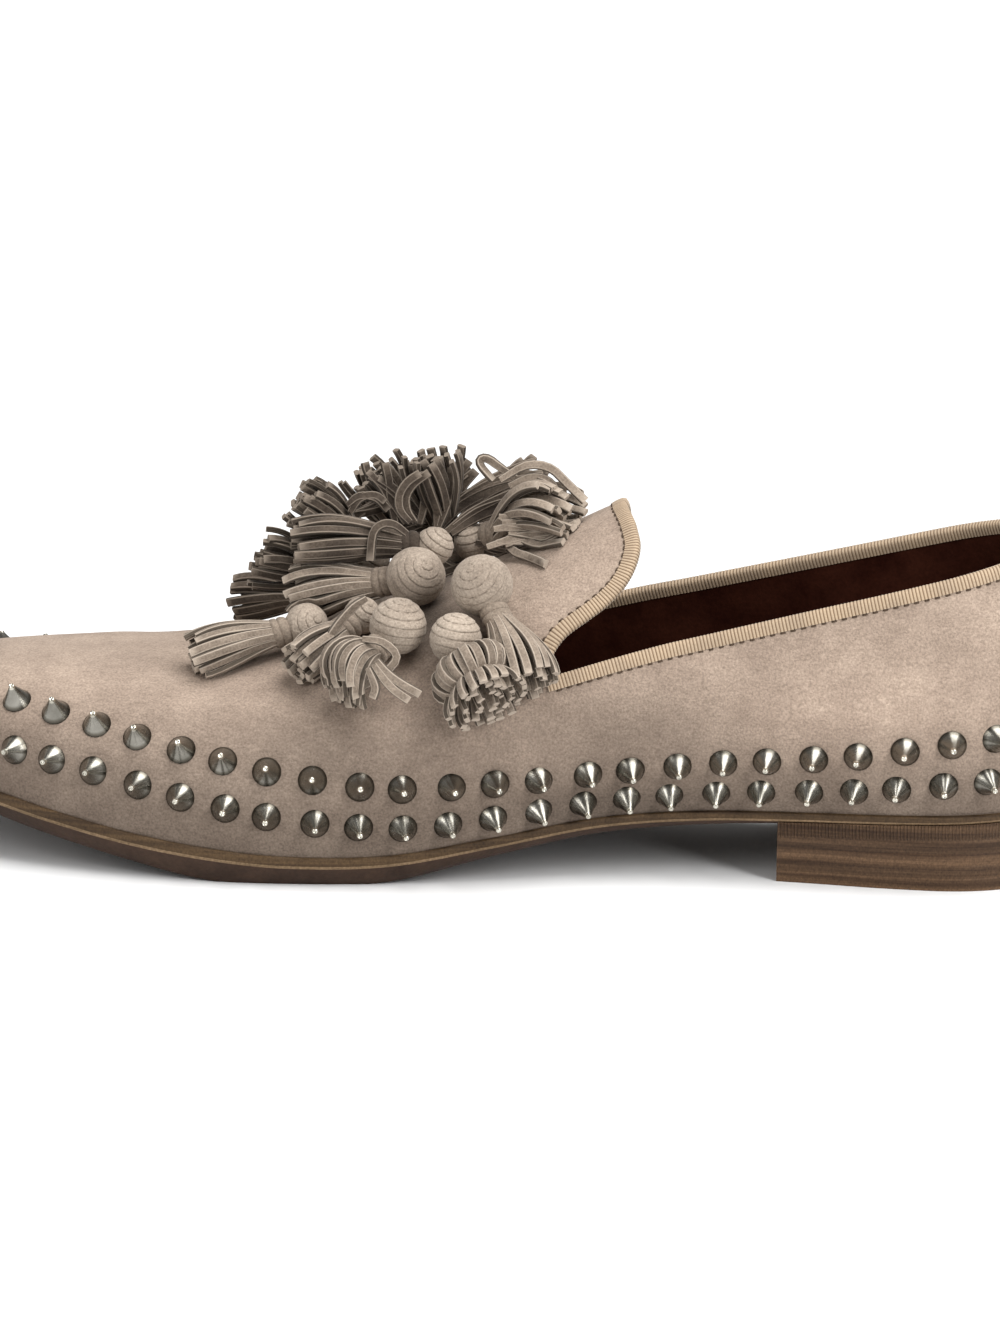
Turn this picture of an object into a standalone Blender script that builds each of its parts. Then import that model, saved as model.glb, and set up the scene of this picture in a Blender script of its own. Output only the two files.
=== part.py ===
"""Tassel loafer: a studded slipper upper with a bound topline, a thin leather sole, a stacked heel and tassels.

The right shoe. Toe towards -X, heel towards +X, medial side towards -Y, +Z up, standing on z = 0.
Sizes are in millimetres and are turned into metres when a mesh is made.
"""
import math

import bmesh
import bpy
from mathutils import Vector

MM = 0.001

# Length of the last and the rounding of its two ends
TOE_X = -150.0
HEEL_X = 150.0
TOE_NOSE = 55.0
TOE_NOSE_HEIGHT = 32.0
HEEL_NOSE = 34.0
NOSE_POWER = 2.2

# Walls, gaps and sole
WALL = 2.0
GAP = 0.3
SOLE_LEDGE = 1.2
SOLE_SIDE = 2.6
SOLE_BEVEL = 3.5
INSOLE_INSET = 2.5
INSOLE_THICKNESS = 2.5
HEEL_BREAST_X = 79.0
HEEL_TAPER = 1.8
HEEL_LIFTS = 4
HEEL_LAYER_GAP = 0.2

# Ribbon bound over the topline
BINDING_WIDTH = 3.5
BINDING_PROUD = 0.35
BINDING_GAP = 0.4

# Cone studs
STUD_RADIUS = 3.4
STUD_TIP_RADIUS = 0.5
STUD_HEIGHT = 6.0
STUD_ROOT = 1.0
STUD_PITCH = 11.2
STUD_SIDES = 6
STUD_START_X = 32.6

# Tassels: the neck leaves the ball inside it, and the skirt and the strips are measured from the ball's face
BALL_SEGMENTS = 8
BALL_RINGS = 5
NECK_SHARE = 0.7
NECK_RADIUS = 3.0
NECK_SIDES = 6
SKIRT_RADIUS = 4.4
SKIRT_REACH = 11.0
STRIP_WIDTH = 3.0
STRIP_THICKNESS = 1.6
STRIP_START = 7.0
STRIP_ROOT_RADIUS = 3.2
STRIP_STEPS = 2
STRIPS = 6
STRIP_CLEARANCE = 2.0

# Mesh density
TOE_STATIONS = 8
MIDDLE_STATIONS = 14
HEEL_STATIONS = 6
WALL_STEPS = 3
SHOULDER_STEPS = 6
WALL_SHARE = WALL_STEPS / (WALL_STEPS + SHOULDER_STEPS)

# Sections of the last from toe to heel. axis: sideways place of the ridge. medial, lateral: half widths at the
# feather line before the ends are rounded. feather: height of the feather line. swell_*: how far the wall stands
# out past the feather. widest: height of the swell over the feather. ridge: top of the closed form, also over
# the opening. fullness: 2 is an ellipse, more is squarer. sole: thickness under the foot.
LAST_COLUMNS = ("x", "axis", "medial", "lateral", "feather", "swell_medial", "swell_lateral", "widest", "ridge",
                "fullness", "sole")
LAST = (
    (-150, -4.0, 24.0, 24.0, 20.4, 0.5, 0.5, 8, 41.0, 2.4, 4.2),
    (-135, -3.5, 29.0, 31.0, 19.8, 0.8, 0.8, 9, 44.2, 2.4, 4.4),
    (-120, -3.0, 33.9, 34.4, 18.0, 1.0, 1.0, 10, 46.3, 2.4, 4.8),
    (-100, -2.0, 40.5, 40.0, 14.0, 1.2, 1.2, 11, 47.6, 2.4, 5.4),
    (-80, -1.0, 46.8, 45.8, 10.4, 1.4, 1.4, 11, 48.8, 2.3, 6.0),
    (-60, -0.5, 50.2, 49.5, 7.9, 1.6, 1.6, 12, 50.4, 2.2, 7.2),
    (-40, 0.0, 50.2, 50.2, 6.4, 2.0, 2.0, 13, 54.2, 2.1, 6.8),
    (-15, 0.0, 46.2, 48.2, 6.9, 3.0, 2.6, 16, 63.5, 2.0, 6.0),
    (10, 0.0, 38.8, 43.8, 10.8, 4.6, 3.4, 19, 74.6, 2.0, 4.2),
    (35, 0.0, 30.0, 39.4, 14.8, 6.6, 4.2, 22, 87.4, 2.0, 3.6),
    (60, 0.0, 25.8, 36.4, 16.6, 7.0, 4.4, 23, 99.0, 2.0, 3.2),
    (85, 0.0, 27.2, 33.8, 17.6, 5.6, 4.0, 23, 107.0, 2.0, 2.6),
    (105, 0.0, 29.6, 32.2, 18.4, 4.2, 3.6, 23, 112.0, 2.0, 2.4),
    (125, 0.0, 30.2, 30.8, 19.2, 3.4, 3.2, 23, 114.0, 2.0, 2.4),
    (150, 0.0, 28.5, 28.5, 20.0, 3.0, 3.0, 23, 114.0, 2.0, 2.4),
)

# Back curve of the heel: how far the wall leans back at each height over the feather
BACK_COLUMNS = ("height", "lean")
BACK_CURVE = ((0, 0.0), (20, 2.6), (42, 1.6), (62, -1.6), (100, -8.0))
BACK_BLEND_X = 90.0

# Collar edge from the throat to the heel on the centre plane, and how the whole opening rises and runs forward
# for each millimetre sideways
COLLAR_COLUMNS = ("x", "height")
COLLAR = ((17, 51.2), (44, 59.0), (59, 62.8), (96, 72.8), (134, 83.0), (152, 87.0), (190, 95.0))
OPENING_TILT = -0.012
OPENING_SKEW = 0.12

# Side outline of the tongue's edge, from the throat corner to above the ridge
TONGUE_COLUMNS = ("step", "x", "height")
TONGUE = ((0, 17.0, 51.2), (1, 18.6, 56.0), (2, 21.9, 60.8), (3, 27.9, 65.2), (4, 32.2, 68.4), (5, 36.0, 72.2),
          (6, 38.7, 76.5), (7, 40.2, 81.0), (8, 40.0, 84.5), (9, 37.8, 89.0), (10, 30.0, 95.0), (11, 20.0, 99.0))
COLLAR_SAMPLES = 14
TONGUE_SAMPLES = 18
OPENING_REACH = 60.0
OPENING_ROOF = 170.0

# Heights of the two stud rows over the feather line, and how much higher the upper one runs on the medial side
STUD_COLUMNS = ("x", "lower", "upper", "medial_rise")
STUD_ROWS = ((-150, 12.0, 21.0, 0.0), (-130, 12.6, 21.3, 0.0), (-112, 13.2, 21.7, 2.5), (-90, 14.5, 23.4, 1.8),
             (-67, 13.1, 23.2, 1.1), (-42, 10.8, 21.6, 0.2), (-21, 8.7, 19.0, 0.0), (1, 6.4, 16.2, 0.0),
             (32, 5.2, 12.9, 0.0), (66, 5.6, 13.6, 0.0), (99, 6.5, 15.8, 0.0), (123, 8.4, 19.2, 0.0),
             (150, 10.0, 21.6, 0.0))

# Tassels: x, y is the ball's bearing point on the vamp, lift is how far it is held off by the balls round it, ball
# is its radius, heading turns from +X to +Y, pitch lifts the fringe, spread is the fringe's radius at its end
TASSEL_COLUMNS = ("x", "y", "lift", "ball", "heading", "pitch", "length", "spread")
TASSELS = (
    (-37.5, -17.4, 0.0, 5.4, 194.4, -15.1, 16.9, 4.8),
    (-9.7, -13.3, 0.1, 7.3, 167.3, -13.2, 17.7, 4.8),
    (-4.9, -4.4, 4.9, 4.8, 186.2, 1.0, 23.0, 5.0),
    (-28.2, 3.9, 0.1, 4.5, 190.5, 20.7, 13.6, 4.6),
    (-21.8, 7.9, 5.2, 4.5, 201.2, 42.8, 13.6, 4.6),
    (-13.9, 28.5, 3.9, 4.5, 204.9, 61.8, 16.5, 4.6),
    (-4.5, 10.9, 0.0, 4.5, 209.9, 75.9, 14.8, 4.6),
    (2.2, 5.3, 0.5, 4.8, -25.1, 24.5, 17.9, 5.0),
    (7.1, -24.2, 0.1, 7.6, -52.0, -44.0, 13.5, 4.6),
    (0.5, -33.6, 0.1, 6.4, -55.0, -38.0, 10.0, 5.0),
    (-13.4, -28.9, 0.1, 7.0, 225.0, -35.8, 8.8, 4.8),
    (-23.6, -18.7, 0.0, 4.6, 227.7, -25.3, 12.4, 4.4),
    (-36.3, 17.8, 0.0, 4.5, 157.4, -8.5, 13.3, 4.4),
    (3.8, 13.9, 0.1, 4.5, 68.6, 22.5, 16.6, 4.6),
    (-15.8, 34.7, 0.1, 4.5, 132.0, -25.1, 10.2, 4.6),
    (10.0, 36.0, 0.1, 4.5, 40.0, -16.0, 9.0, 4.4),
)

# Colour, roughness and metallic value of each material
SUEDE = ("suede", (0.376, 0.294, 0.235, 1.0), 0.95, 0.0)
RIBBON = ("ribbon", (0.429, 0.305, 0.178, 1.0), 0.7, 0.0)
LINING = ("lining_leather", (0.120, 0.036, 0.016, 1.0), 0.5, 0.0)
SOLE_LEATHER = ("sole_leather", (0.150, 0.085, 0.048, 1.0), 0.45, 0.0)
HEEL_LEATHER = ("heel_leather", (0.205, 0.115, 0.062, 1.0), 0.5, 0.0)

# Blender scene collections
PARTS_NAME = "tassel_loafer"
CUTTERS_NAME = "tassel_loafer_cutters"


def clear_scene():
    """Remove whatever the scene holds."""
    for item in list(bpy.data.objects):
        bpy.data.objects.remove(item, do_unlink=True)


def new_collection(name):
    """Make a collection under the scene's root."""
    collection = bpy.data.collections.new(name)
    bpy.context.scene.collection.children.link(collection)
    return collection


def make_material(name, colour, roughness, metallic):
    """Plain surface with one colour."""
    material = bpy.data.materials.new(name)
    material.use_nodes = True
    shader = material.node_tree.nodes["Principled BSDF"]
    shader.inputs["Base Color"].default_value = colour
    shader.inputs["Roughness"].default_value = roughness
    shader.inputs["Metallic"].default_value = metallic
    return material


def tangent(rows, index, column):
    """Slope of a table's column at one row."""
    low = max(index - 1, 0)
    high = min(index + 1, len(rows) - 1)
    return (rows[high][column] - rows[low][column]) / (rows[high][0] - rows[low][0])


def lookup(rows, columns, key):
    """Smooth values of every column of a table at one place, by name."""
    key = min(max(key, rows[0][0]), rows[-1][0])
    index = 0
    while index < len(rows) - 2 and key > rows[index + 1][0]:
        index += 1
    span = rows[index + 1][0] - rows[index][0]
    t = (key - rows[index][0]) / span
    values = {}
    for column, name in enumerate(columns):
        start = rows[index][column]
        end = rows[index + 1][column]
        start_slope = tangent(rows, index, column) * span if column else span
        end_slope = tangent(rows, index + 1, column) * span if column else span
        values[name] = ((2 * t ** 3 - 3 * t ** 2 + 1) * start + (t ** 3 - 2 * t ** 2 + t) * start_slope
                        + (3 * t ** 2 - 2 * t ** 3) * end + (t ** 3 - t ** 2) * end_slope)
    return values


def nose(depth, reach):
    """Rounding of an end: 0 at its tip, 1 from its reach on."""
    if depth >= reach:
        return 1.0
    return (1.0 - (1.0 - max(depth, 0.0) / reach) ** NOSE_POWER) ** (1.0 / NOSE_POWER)


def section(x):
    """Sizes of the last's section at x, with both ends rounded."""
    row = lookup(LAST, LAST_COLUMNS, x)
    width = nose(x - TOE_X, TOE_NOSE) * nose(HEEL_X - x, HEEL_NOSE)
    height = nose(x - TOE_X, TOE_NOSE_HEIGHT)
    for name in ("medial", "lateral", "swell_medial", "swell_lateral"):
        row[name] *= width
    row["wide_z"] = row["feather"] + row["widest"] * height
    row["ridge"] = row["feather"] + (row["ridge"] - row["feather"]) * height
    return row


def back_lean(x, height):
    """How far the heel's back curve moves a point along X."""
    t = min(max((x - BACK_BLEND_X) / (HEEL_X - BACK_BLEND_X), 0.0), 1.0)
    return lookup(BACK_CURVE, BACK_COLUMNS, height)["lean"] * t * t * (3.0 - 2.0 * t)


def surface(x, v):
    """Outer face of the upper: v is -1 at the medial feather, 0 on the ridge and 1 at the lateral feather."""
    row = section(x)
    side = -1.0 if v < 0 else 1.0
    name = "medial" if v < 0 else "lateral"
    half = row[name]
    wide = half + row["swell_" + name]
    share = abs(v)
    if share > 1.0 - WALL_SHARE:
        s = (1.0 - share) / WALL_SHARE
        y = wide - (wide - half) * (1.0 - s) ** 2
        z = row["feather"] + (row["wide_z"] - row["feather"]) * s
    else:
        angle = (1.0 - share / (1.0 - WALL_SHARE)) * math.pi / 2.0
        power = 2.0 / row["fullness"]
        y = wide * max(math.cos(angle), 0.0) ** power
        z = row["wide_z"] + (row["ridge"] - row["wide_z"]) * math.sin(angle) ** power
    return Vector((x + back_lean(x, z - row["feather"]), row["axis"] + side * y, z))


def surface_normal(x, v):
    """Outward direction of the upper's outer face."""
    step_x = 0.5
    step_v = 0.01
    along = surface(x + step_x, v) - surface(x - step_x, v)
    across = surface(x, v + step_v) - surface(x, v - step_v)
    return along.cross(across).normalized()


def v_at_height(x, side, height):
    """Place on the section, on one side, that lies a height over the feather, or None over the ridge."""
    target = section(x)["feather"] + height
    if section(x)["ridge"] <= target:
        return None
    low = 0.0
    high = 1.0
    for _ in range(30):
        middle = (low + high) / 2.0
        if surface(x, side * middle).z > target:
            low = middle
        else:
            high = middle
    return side * (low + high) / 2.0


def v_at_width(x, y):
    """Place on the shoulder of the section that lies a distance sideways."""
    row = section(x)
    name = "medial" if y < row["axis"] else "lateral"
    wide = row[name] + row["swell_" + name]
    reach = min(abs(y - row["axis"]) / wide, 1.0)
    angle = math.acos(reach ** (row["fullness"] / 2.0))
    share = (1.0 - angle / (math.pi / 2.0)) * (1.0 - WALL_SHARE)
    return -share if y < row["axis"] else share


def stations():
    """Places along the shoe, close together at both round ends."""
    toe_end = TOE_X + TOE_NOSE
    heel_start = HEEL_X - HEEL_NOSE
    places = [TOE_X + TOE_NOSE * (1.0 - math.cos(math.pi / 2.0 * k / TOE_STATIONS)) for k in range(TOE_STATIONS)]
    places += [toe_end + (heel_start - toe_end) * k / MIDDLE_STATIONS for k in range(MIDDLE_STATIONS)]
    places += [heel_start + HEEL_NOSE * math.sin(math.pi / 2.0 * k / HEEL_STATIONS)
               for k in range(HEEL_STATIONS + 1)]
    return places


def mesh_object(name, bm, collection, material=None):
    """Finish a bmesh in millimetres as an object in metres."""
    bmesh.ops.scale(bm, vec=(MM, MM, MM), verts=bm.verts)
    mesh = bpy.data.meshes.new(name)
    bm.to_mesh(mesh)
    bm.free()
    mesh.shade_smooth()
    mesh.set_sharp_from_angle(angle=math.radians(35))
    item = bpy.data.objects.new(name, mesh)
    collection.objects.link(item)
    if material:
        mesh.materials.append(material)
    return item


def hide_helper(item):
    """Mark an object as a cutter."""
    item.hide_render = True
    item.display_type = "WIRE"
    return item


def add_boolean(item, operation, helper, joined=False):
    """Cut or join an object with a helper."""
    cut = item.modifiers.new(operation.lower(), "BOOLEAN")
    cut.operation = operation
    cut.object = helper
    cut.solver = "EXACT"
    cut.use_self = joined


def last_shell(name, collection, material, proud=0.0):
    """Hollow wall over the last, open underneath."""
    count = WALL_STEPS + SHOULDER_STEPS
    bm = bmesh.new()
    rings = []
    for x in stations():
        rings.append([bm.verts.new(surface(x, k / count)) for k in range(-count, count + 1)])
    for near, far in zip(rings, rings[1:]):
        for k in range(2 * count):
            bm.faces.new((near[k], far[k], far[k + 1], near[k + 1]))
    bmesh.ops.remove_doubles(bm, verts=bm.verts, dist=0.01)
    bmesh.ops.recalc_face_normals(bm, faces=bm.faces)
    top = max(bm.faces, key=lambda face: face.calc_center_median().z)
    if top.normal.z < 0:
        bmesh.ops.reverse_faces(bm, faces=bm.faces)
    item = mesh_object(name, bm, collection, material)
    wall = item.modifiers.new("wall", "SOLIDIFY")
    wall.thickness = (WALL + 2.0 * proud) * MM
    wall.offset = -1.0 + 2.0 * proud / (WALL + 2.0 * proud)
    wall.use_even_offset = True
    return item


def opening_profile(grow):
    """Side outline of the collar and throat opening, grown into the upper by a distance."""
    path = []
    for k in range(COLLAR_SAMPLES, 0, -1):
        x = COLLAR[0][0] + (COLLAR[-1][0] - COLLAR[0][0]) * k / COLLAR_SAMPLES
        path.append(Vector((x, lookup(COLLAR, COLLAR_COLUMNS, x)["height"])))
    for k in range(TONGUE_SAMPLES + 1):
        row = lookup(TONGUE, TONGUE_COLUMNS, TONGUE[-1][0] * k / TONGUE_SAMPLES)
        path.append(Vector((row["x"], row["height"])))
    grown = []
    for k, point in enumerate(path):
        before = (point - path[max(k - 1, 0)]).normalized() if k else (path[1] - point).normalized()
        after = (path[k + 1] - point).normalized() if k + 1 < len(path) else before
        along = (before + after).normalized()
        outward = Vector((along.y, -along.x)) * -1.0
        square = max(along.dot(before), 0.6)
        grown.append(point + outward * grow / square)
    return grown


def opening_cutter(name, grow, collection):
    """Solid that takes away the collar and throat, running askew by the opening's tilt and skew."""
    profile = opening_profile(grow)
    profile.append(Vector((profile[-1].x, OPENING_ROOF)))
    profile.append(Vector((profile[0].x, OPENING_ROOF)))
    bm = bmesh.new()
    sides = []
    for y in (-OPENING_REACH, OPENING_REACH):
        ring = []
        for point in profile:
            ring.append(bm.verts.new((point.x - OPENING_SKEW * y, y, point.y + OPENING_TILT * y)))
        sides.append(ring)
    bm.faces.new(sides[0])
    bm.faces.new(list(reversed(sides[1])))
    count = len(profile)
    for k in range(count):
        bm.faces.new((sides[0][k], sides[1][k], sides[1][(k + 1) % count], sides[0][(k + 1) % count]))
    bmesh.ops.recalc_face_normals(bm, faces=bm.faces)
    return hide_helper(mesh_object(name, bm, collection))


def row_front(row_name):
    """Foremost place of a stud row, where it crosses the toe's ridge."""
    low = TOE_X
    high = 0.0
    for _ in range(30):
        middle = (low + high) / 2.0
        if v_at_height(middle, 1.0, lookup(STUD_ROWS, STUD_COLUMNS, middle)[row_name]) is None:
            low = middle
        else:
            high = middle
    return high


def stud_places(row_name):
    """Places of one stud row, evenly spaced round the shoe from a stud at the medial waist."""
    samples = 300
    front = row_front(row_name)
    loop = []
    for side in (-1.0, 1.0):
        run = []
        for k in range(samples + 1):
            x = HEEL_X + (front - HEEL_X) * (1.0 - math.cos(math.pi * k / samples)) / 2.0
            row = lookup(STUD_ROWS, STUD_COLUMNS, x)
            rise = row["medial_rise"] if row_name == "upper" and side < 0 else 0.0
            run.append((x, v_at_height(x, side, row[row_name] + rise)))
        loop += run if side < 0 else list(reversed(run))
    begin = next(k for k, place in enumerate(loop) if place[0] < STUD_START_X)
    loop = loop[begin:] + loop[:begin]
    points = [surface(*place) for place in loop]
    steps = [(points[(k + 1) % len(points)] - point).length for k, point in enumerate(points)]
    count = round(sum(steps) / STUD_PITCH)
    pitch = sum(steps) / count
    places = []
    travelled = 0.0
    for place, step in zip(loop, steps):
        if travelled >= len(places) * pitch and len(places) < count:
            places.append(place)
        travelled += step
    return places


def cone_on(bm, point, direction, base_radius, tip_radius, length, sides):
    """Closed cone from a point along a direction."""
    turn = direction.to_track_quat("Z", "Y").to_matrix().to_4x4()
    turn.translation = point + direction * length / 2.0
    bmesh.ops.create_cone(bm, cap_ends=True, segments=sides, radius1=base_radius, radius2=tip_radius,
                          depth=length, matrix=turn)


def make_studs(collection):
    """Both rows of cone studs as one helper, each rooted in the wall."""
    bm = bmesh.new()
    for row_name in ("lower", "upper"):
        for x, v in stud_places(row_name):
            out = surface_normal(x, v)
            cone_on(bm, surface(x, v) - out * STUD_ROOT, out, STUD_RADIUS, STUD_TIP_RADIUS,
                    STUD_HEIGHT + STUD_ROOT, STUD_SIDES)
    return hide_helper(mesh_object("stud_helper", bm, collection))


def outline(offset, start_x=TOE_X):
    """Both sides of the feather line seen from above, moved out by a distance, from the toe or from a cut."""
    places = [x for x in stations() if x > start_x + 1.0]
    places.insert(0, start_x)
    medial = []
    lateral = []
    for x in places:
        row = section(x)
        medial.append(Vector((x, row["axis"] - row["medial"])))
        lateral.append(Vector((x, row["axis"] + row["lateral"])))
    closed_toe = start_x == TOE_X
    moved = []
    for side, points in ((-1.0, medial), (1.0, lateral)):
        run = []
        for k, point in enumerate(points):
            if k == len(points) - 1:
                out = Vector((1.0, 0.0))
            elif k == 0 and closed_toe:
                out = Vector((-1.0, 0.0))
            else:
                along = points[k + 1] - points[max(k - 1, 0)]
                out = Vector((-along.y, along.x)).normalized() * side
            place = point + out * offset
            if k == 0 and not closed_toe:
                place.x = start_x
            run.append(place)
        moved.append(run)
    return moved


def slab(name, levels, collection, material):
    """Closed solid through outlines stacked from top to bottom, each an outline and its height function."""
    bm = bmesh.new()
    rings = []
    for sides, height in levels:
        rings.append([[bm.verts.new((p.x, p.y, height(p.x))) for p in run] for run in sides])
    count = len(rings[0][0])
    for ring in (rings[0], rings[-1]):
        for k in range(count - 1):
            bm.faces.new((ring[0][k], ring[0][k + 1], ring[1][k + 1], ring[1][k]))
    for upper, lower in zip(rings, rings[1:]):
        for side in (0, 1):
            for k in range(count - 1):
                bm.faces.new((upper[side][k], upper[side][k + 1], lower[side][k + 1], lower[side][k]))
        bm.faces.new((upper[0][0], upper[1][0], lower[1][0], lower[0][0]))
    bmesh.ops.remove_doubles(bm, verts=bm.verts, dist=0.01)
    bmesh.ops.recalc_face_normals(bm, faces=bm.faces)
    return mesh_object(name, bm, collection, material)


def feather_z(x):
    """Height of the feather line."""
    return section(x)["feather"]


def sole_top(x):
    """Top face of the outsole."""
    return feather_z(x) - GAP


def sole_bottom(x):
    """Bottom face of the outsole, flat on the floor under the ball."""
    return max(sole_top(x) - section(x)["sole"], 0.0)


def sole_side(x):
    """Lower end of the outsole's upright side."""
    return max(sole_top(x) - SOLE_SIDE, (sole_top(x) + sole_bottom(x)) / 2.0)


def make_sole(collection, material):
    """Outsole with an upright side and a bevelled lower edge."""
    levels = ((outline(SOLE_LEDGE), sole_top), (outline(SOLE_LEDGE), sole_side),
              (outline(SOLE_LEDGE - SOLE_BEVEL), sole_bottom))
    return slab("outsole", levels, collection, material)


def make_insole(collection, material):
    """Inner sole inside the wall."""
    levels = ((outline(-INSOLE_INSET), lambda x: feather_z(x) + INSOLE_THICKNESS),
              (outline(-INSOLE_INSET), feather_z))
    return slab("insole", levels, collection, material)


def make_heel(collection, material):
    """Stack of leather lifts between the outsole and the floor."""
    layers = HEEL_LIFTS + 1
    for layer in range(layers):
        name = f"heel_lift_{layer + 1}" if layer < HEEL_LIFTS else "heel_top_piece"
        high = 1.0 - layer / layers
        low = 1.0 - (layer + 1) / layers

        def top(x, share=high):
            return (sole_bottom(x) - HEEL_LAYER_GAP) * share

        def bottom(x, share=low):
            return (sole_bottom(x) - HEEL_LAYER_GAP) * share + (HEEL_LAYER_GAP if share else 0.0)

        levels = ((outline(SOLE_LEDGE - HEEL_TAPER * layer / layers, HEEL_BREAST_X), top),
                  (outline(SOLE_LEDGE - HEEL_TAPER * (layer + 1) / layers, HEEL_BREAST_X), bottom))
        slab(name, levels, collection, material)


def ball_centre(row):
    """Middle of a ball held over its bearing point."""
    v = v_at_width(row["x"], row["y"])
    return surface(row["x"], v) + surface_normal(row["x"], v) * (row["ball"] + GAP + row["lift"])


def above_vamp(point, clearance):
    """Lift a point that would come too close to the vamp."""
    v = v_at_width(point.x, point.y)
    floor = surface(point.x, v)
    out = surface_normal(point.x, v)
    short = clearance - (point - floor).dot(out)
    return point + out * short if short > 0.0 else point


def strip_path(centre, axis, across, up, turn, row):
    """Middle line of one strip: out of the neck, fanning out and lying on the vamp where it meets it."""
    path = []
    for k in range(STRIP_STEPS + 1):
        t = k / STRIP_STEPS
        fan = STRIP_ROOT_RADIUS + (row["spread"] - STRIP_ROOT_RADIUS) * t
        along = row["ball"] + STRIP_START + row["length"] * t
        point = centre + axis * along + (across * math.cos(turn) + up * math.sin(turn)) * fan
        path.append(above_vamp(point, STRIP_CLEARANCE))
    return path


def add_strip(bm, path, wide):
    """Flat strip with a rectangular section along a path."""
    rings = []
    for k, point in enumerate(path):
        along = (path[min(k + 1, len(path) - 1)] - path[max(k - 1, 0)]).normalized()
        side = (wide - along * wide.dot(along)).normalized()
        thick = along.cross(side)
        corners = ((-1, -1), (1, -1), (1, 1), (-1, 1))
        rings.append([bm.verts.new(point + side * (a * STRIP_WIDTH / 2.0) + thick * (b * STRIP_THICKNESS / 2.0))
                      for a, b in corners])
    faces = [bm.faces.new(list(reversed(rings[0]))), bm.faces.new(rings[-1])]
    for near, far in zip(rings, rings[1:]):
        for k in range(4):
            faces.append(bm.faces.new((near[k], near[(k + 1) % 4], far[(k + 1) % 4], far[k])))
    bmesh.ops.recalc_face_normals(bm, faces=faces)


def make_tassel(name, row, parts, cutters, material):
    """Ball head with a neck and a fringe of strips fused on."""
    centre = ball_centre(row)
    heading = math.radians(row["heading"])
    pitch = math.radians(row["pitch"])
    axis = Vector((math.cos(heading) * math.cos(pitch), math.sin(heading) * math.cos(pitch), math.sin(pitch)))
    across = axis.cross(Vector((0.0, 0.0, 1.0))).normalized()
    up = across.cross(axis)
    bm = bmesh.new()
    bmesh.ops.create_uvsphere(bm, u_segments=BALL_SEGMENTS, v_segments=BALL_RINGS, radius=row["ball"])
    bmesh.ops.translate(bm, verts=bm.verts, vec=centre)
    ball = mesh_object(name, bm, parts, material)
    fringe = bmesh.new()
    neck_start = row["ball"] * NECK_SHARE
    neck_length = row["ball"] + SKIRT_REACH - neck_start
    cone_on(fringe, centre + axis * neck_start, axis, NECK_RADIUS, SKIRT_RADIUS, neck_length, NECK_SIDES)
    for k in range(STRIPS):
        turn = 2.0 * math.pi * (k + 0.25) / STRIPS
        out = across * math.cos(turn) + up * math.sin(turn)
        add_strip(fringe, strip_path(centre, axis, across, up, turn, row), axis.cross(out))
    helper = hide_helper(mesh_object(name + "_fringe", fringe, cutters))
    add_boolean(ball, "UNION", helper, joined=True)


def make_tassels(parts, cutters, material):
    """Burst of tassels over the vamp."""
    for number, values in enumerate(TASSELS, start=1):
        row = dict(zip(TASSEL_COLUMNS, values))
        make_tassel(f"tassel_{number:02d}", row, parts, cutters, material)


def centre_on_origin(parts):
    """Hang every piece on one empty that puts the middle of the shoe's box over the origin."""
    bpy.context.view_layer.update()
    graph = bpy.context.evaluated_depsgraph_get()
    corners = []
    for item in parts.objects:
        corners += [item.matrix_world @ Vector(corner) for corner in item.evaluated_get(graph).bound_box]
    low = Vector([min(corner[axis] for corner in corners) for axis in range(3)])
    high = Vector([max(corner[axis] for corner in corners) for axis in range(3)])
    frame = bpy.data.objects.new("shoe_frame", None)
    parts.objects.link(frame)
    for item in list(parts.objects) + list(bpy.data.collections[CUTTERS_NAME].objects):
        if item != frame:
            item.parent = frame
    frame.location = (-(low.x + high.x) / 2.0, -(low.y + high.y) / 2.0, -low.z)


def main():
    """Build the whole shoe."""
    clear_scene()
    parts = new_collection(PARTS_NAME)
    cutters = new_collection(CUTTERS_NAME)
    suede = make_material(*SUEDE)
    ribbon = make_material(*RIBBON)
    lining = make_material(*LINING)
    sole_leather = make_material(*SOLE_LEATHER)
    heel_leather = make_material(*HEEL_LEATHER)

    collar_line = opening_cutter("collar_cutter", 0.0, cutters)
    ribbon_line = opening_cutter("ribbon_cutter", BINDING_WIDTH, cutters)
    upper_line = opening_cutter("upper_cutter", BINDING_WIDTH + BINDING_GAP, cutters)

    upper = last_shell("upper", parts, suede)
    add_boolean(upper, "DIFFERENCE", upper_line)
    add_boolean(upper, "UNION", make_studs(cutters))

    binding = last_shell("topline_binding", parts, ribbon, BINDING_PROUD)
    add_boolean(binding, "INTERSECT", ribbon_line)
    add_boolean(binding, "DIFFERENCE", collar_line)

    make_insole(parts, lining)
    make_sole(parts, sole_leather)
    make_heel(parts, heel_leather)
    make_tassels(parts, cutters, suede)
    centre_on_origin(parts)


main()
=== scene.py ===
"""Looks of the tassel loafer: suede, ribbon, turned studs, leather sole and heel, and cut suede tassels.

The right shoe. Sizes are in millimetres in the shoe's own frame: toe towards -X, medial side towards -Y,
floor at z = 0. The frame's outsole gives the step from there to the row frame, in metres.
"""
import functools
import math
import random

import bmesh
import bpy
from mathutils import Matrix, Vector
from mathutils.kdtree import KDTree


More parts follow.
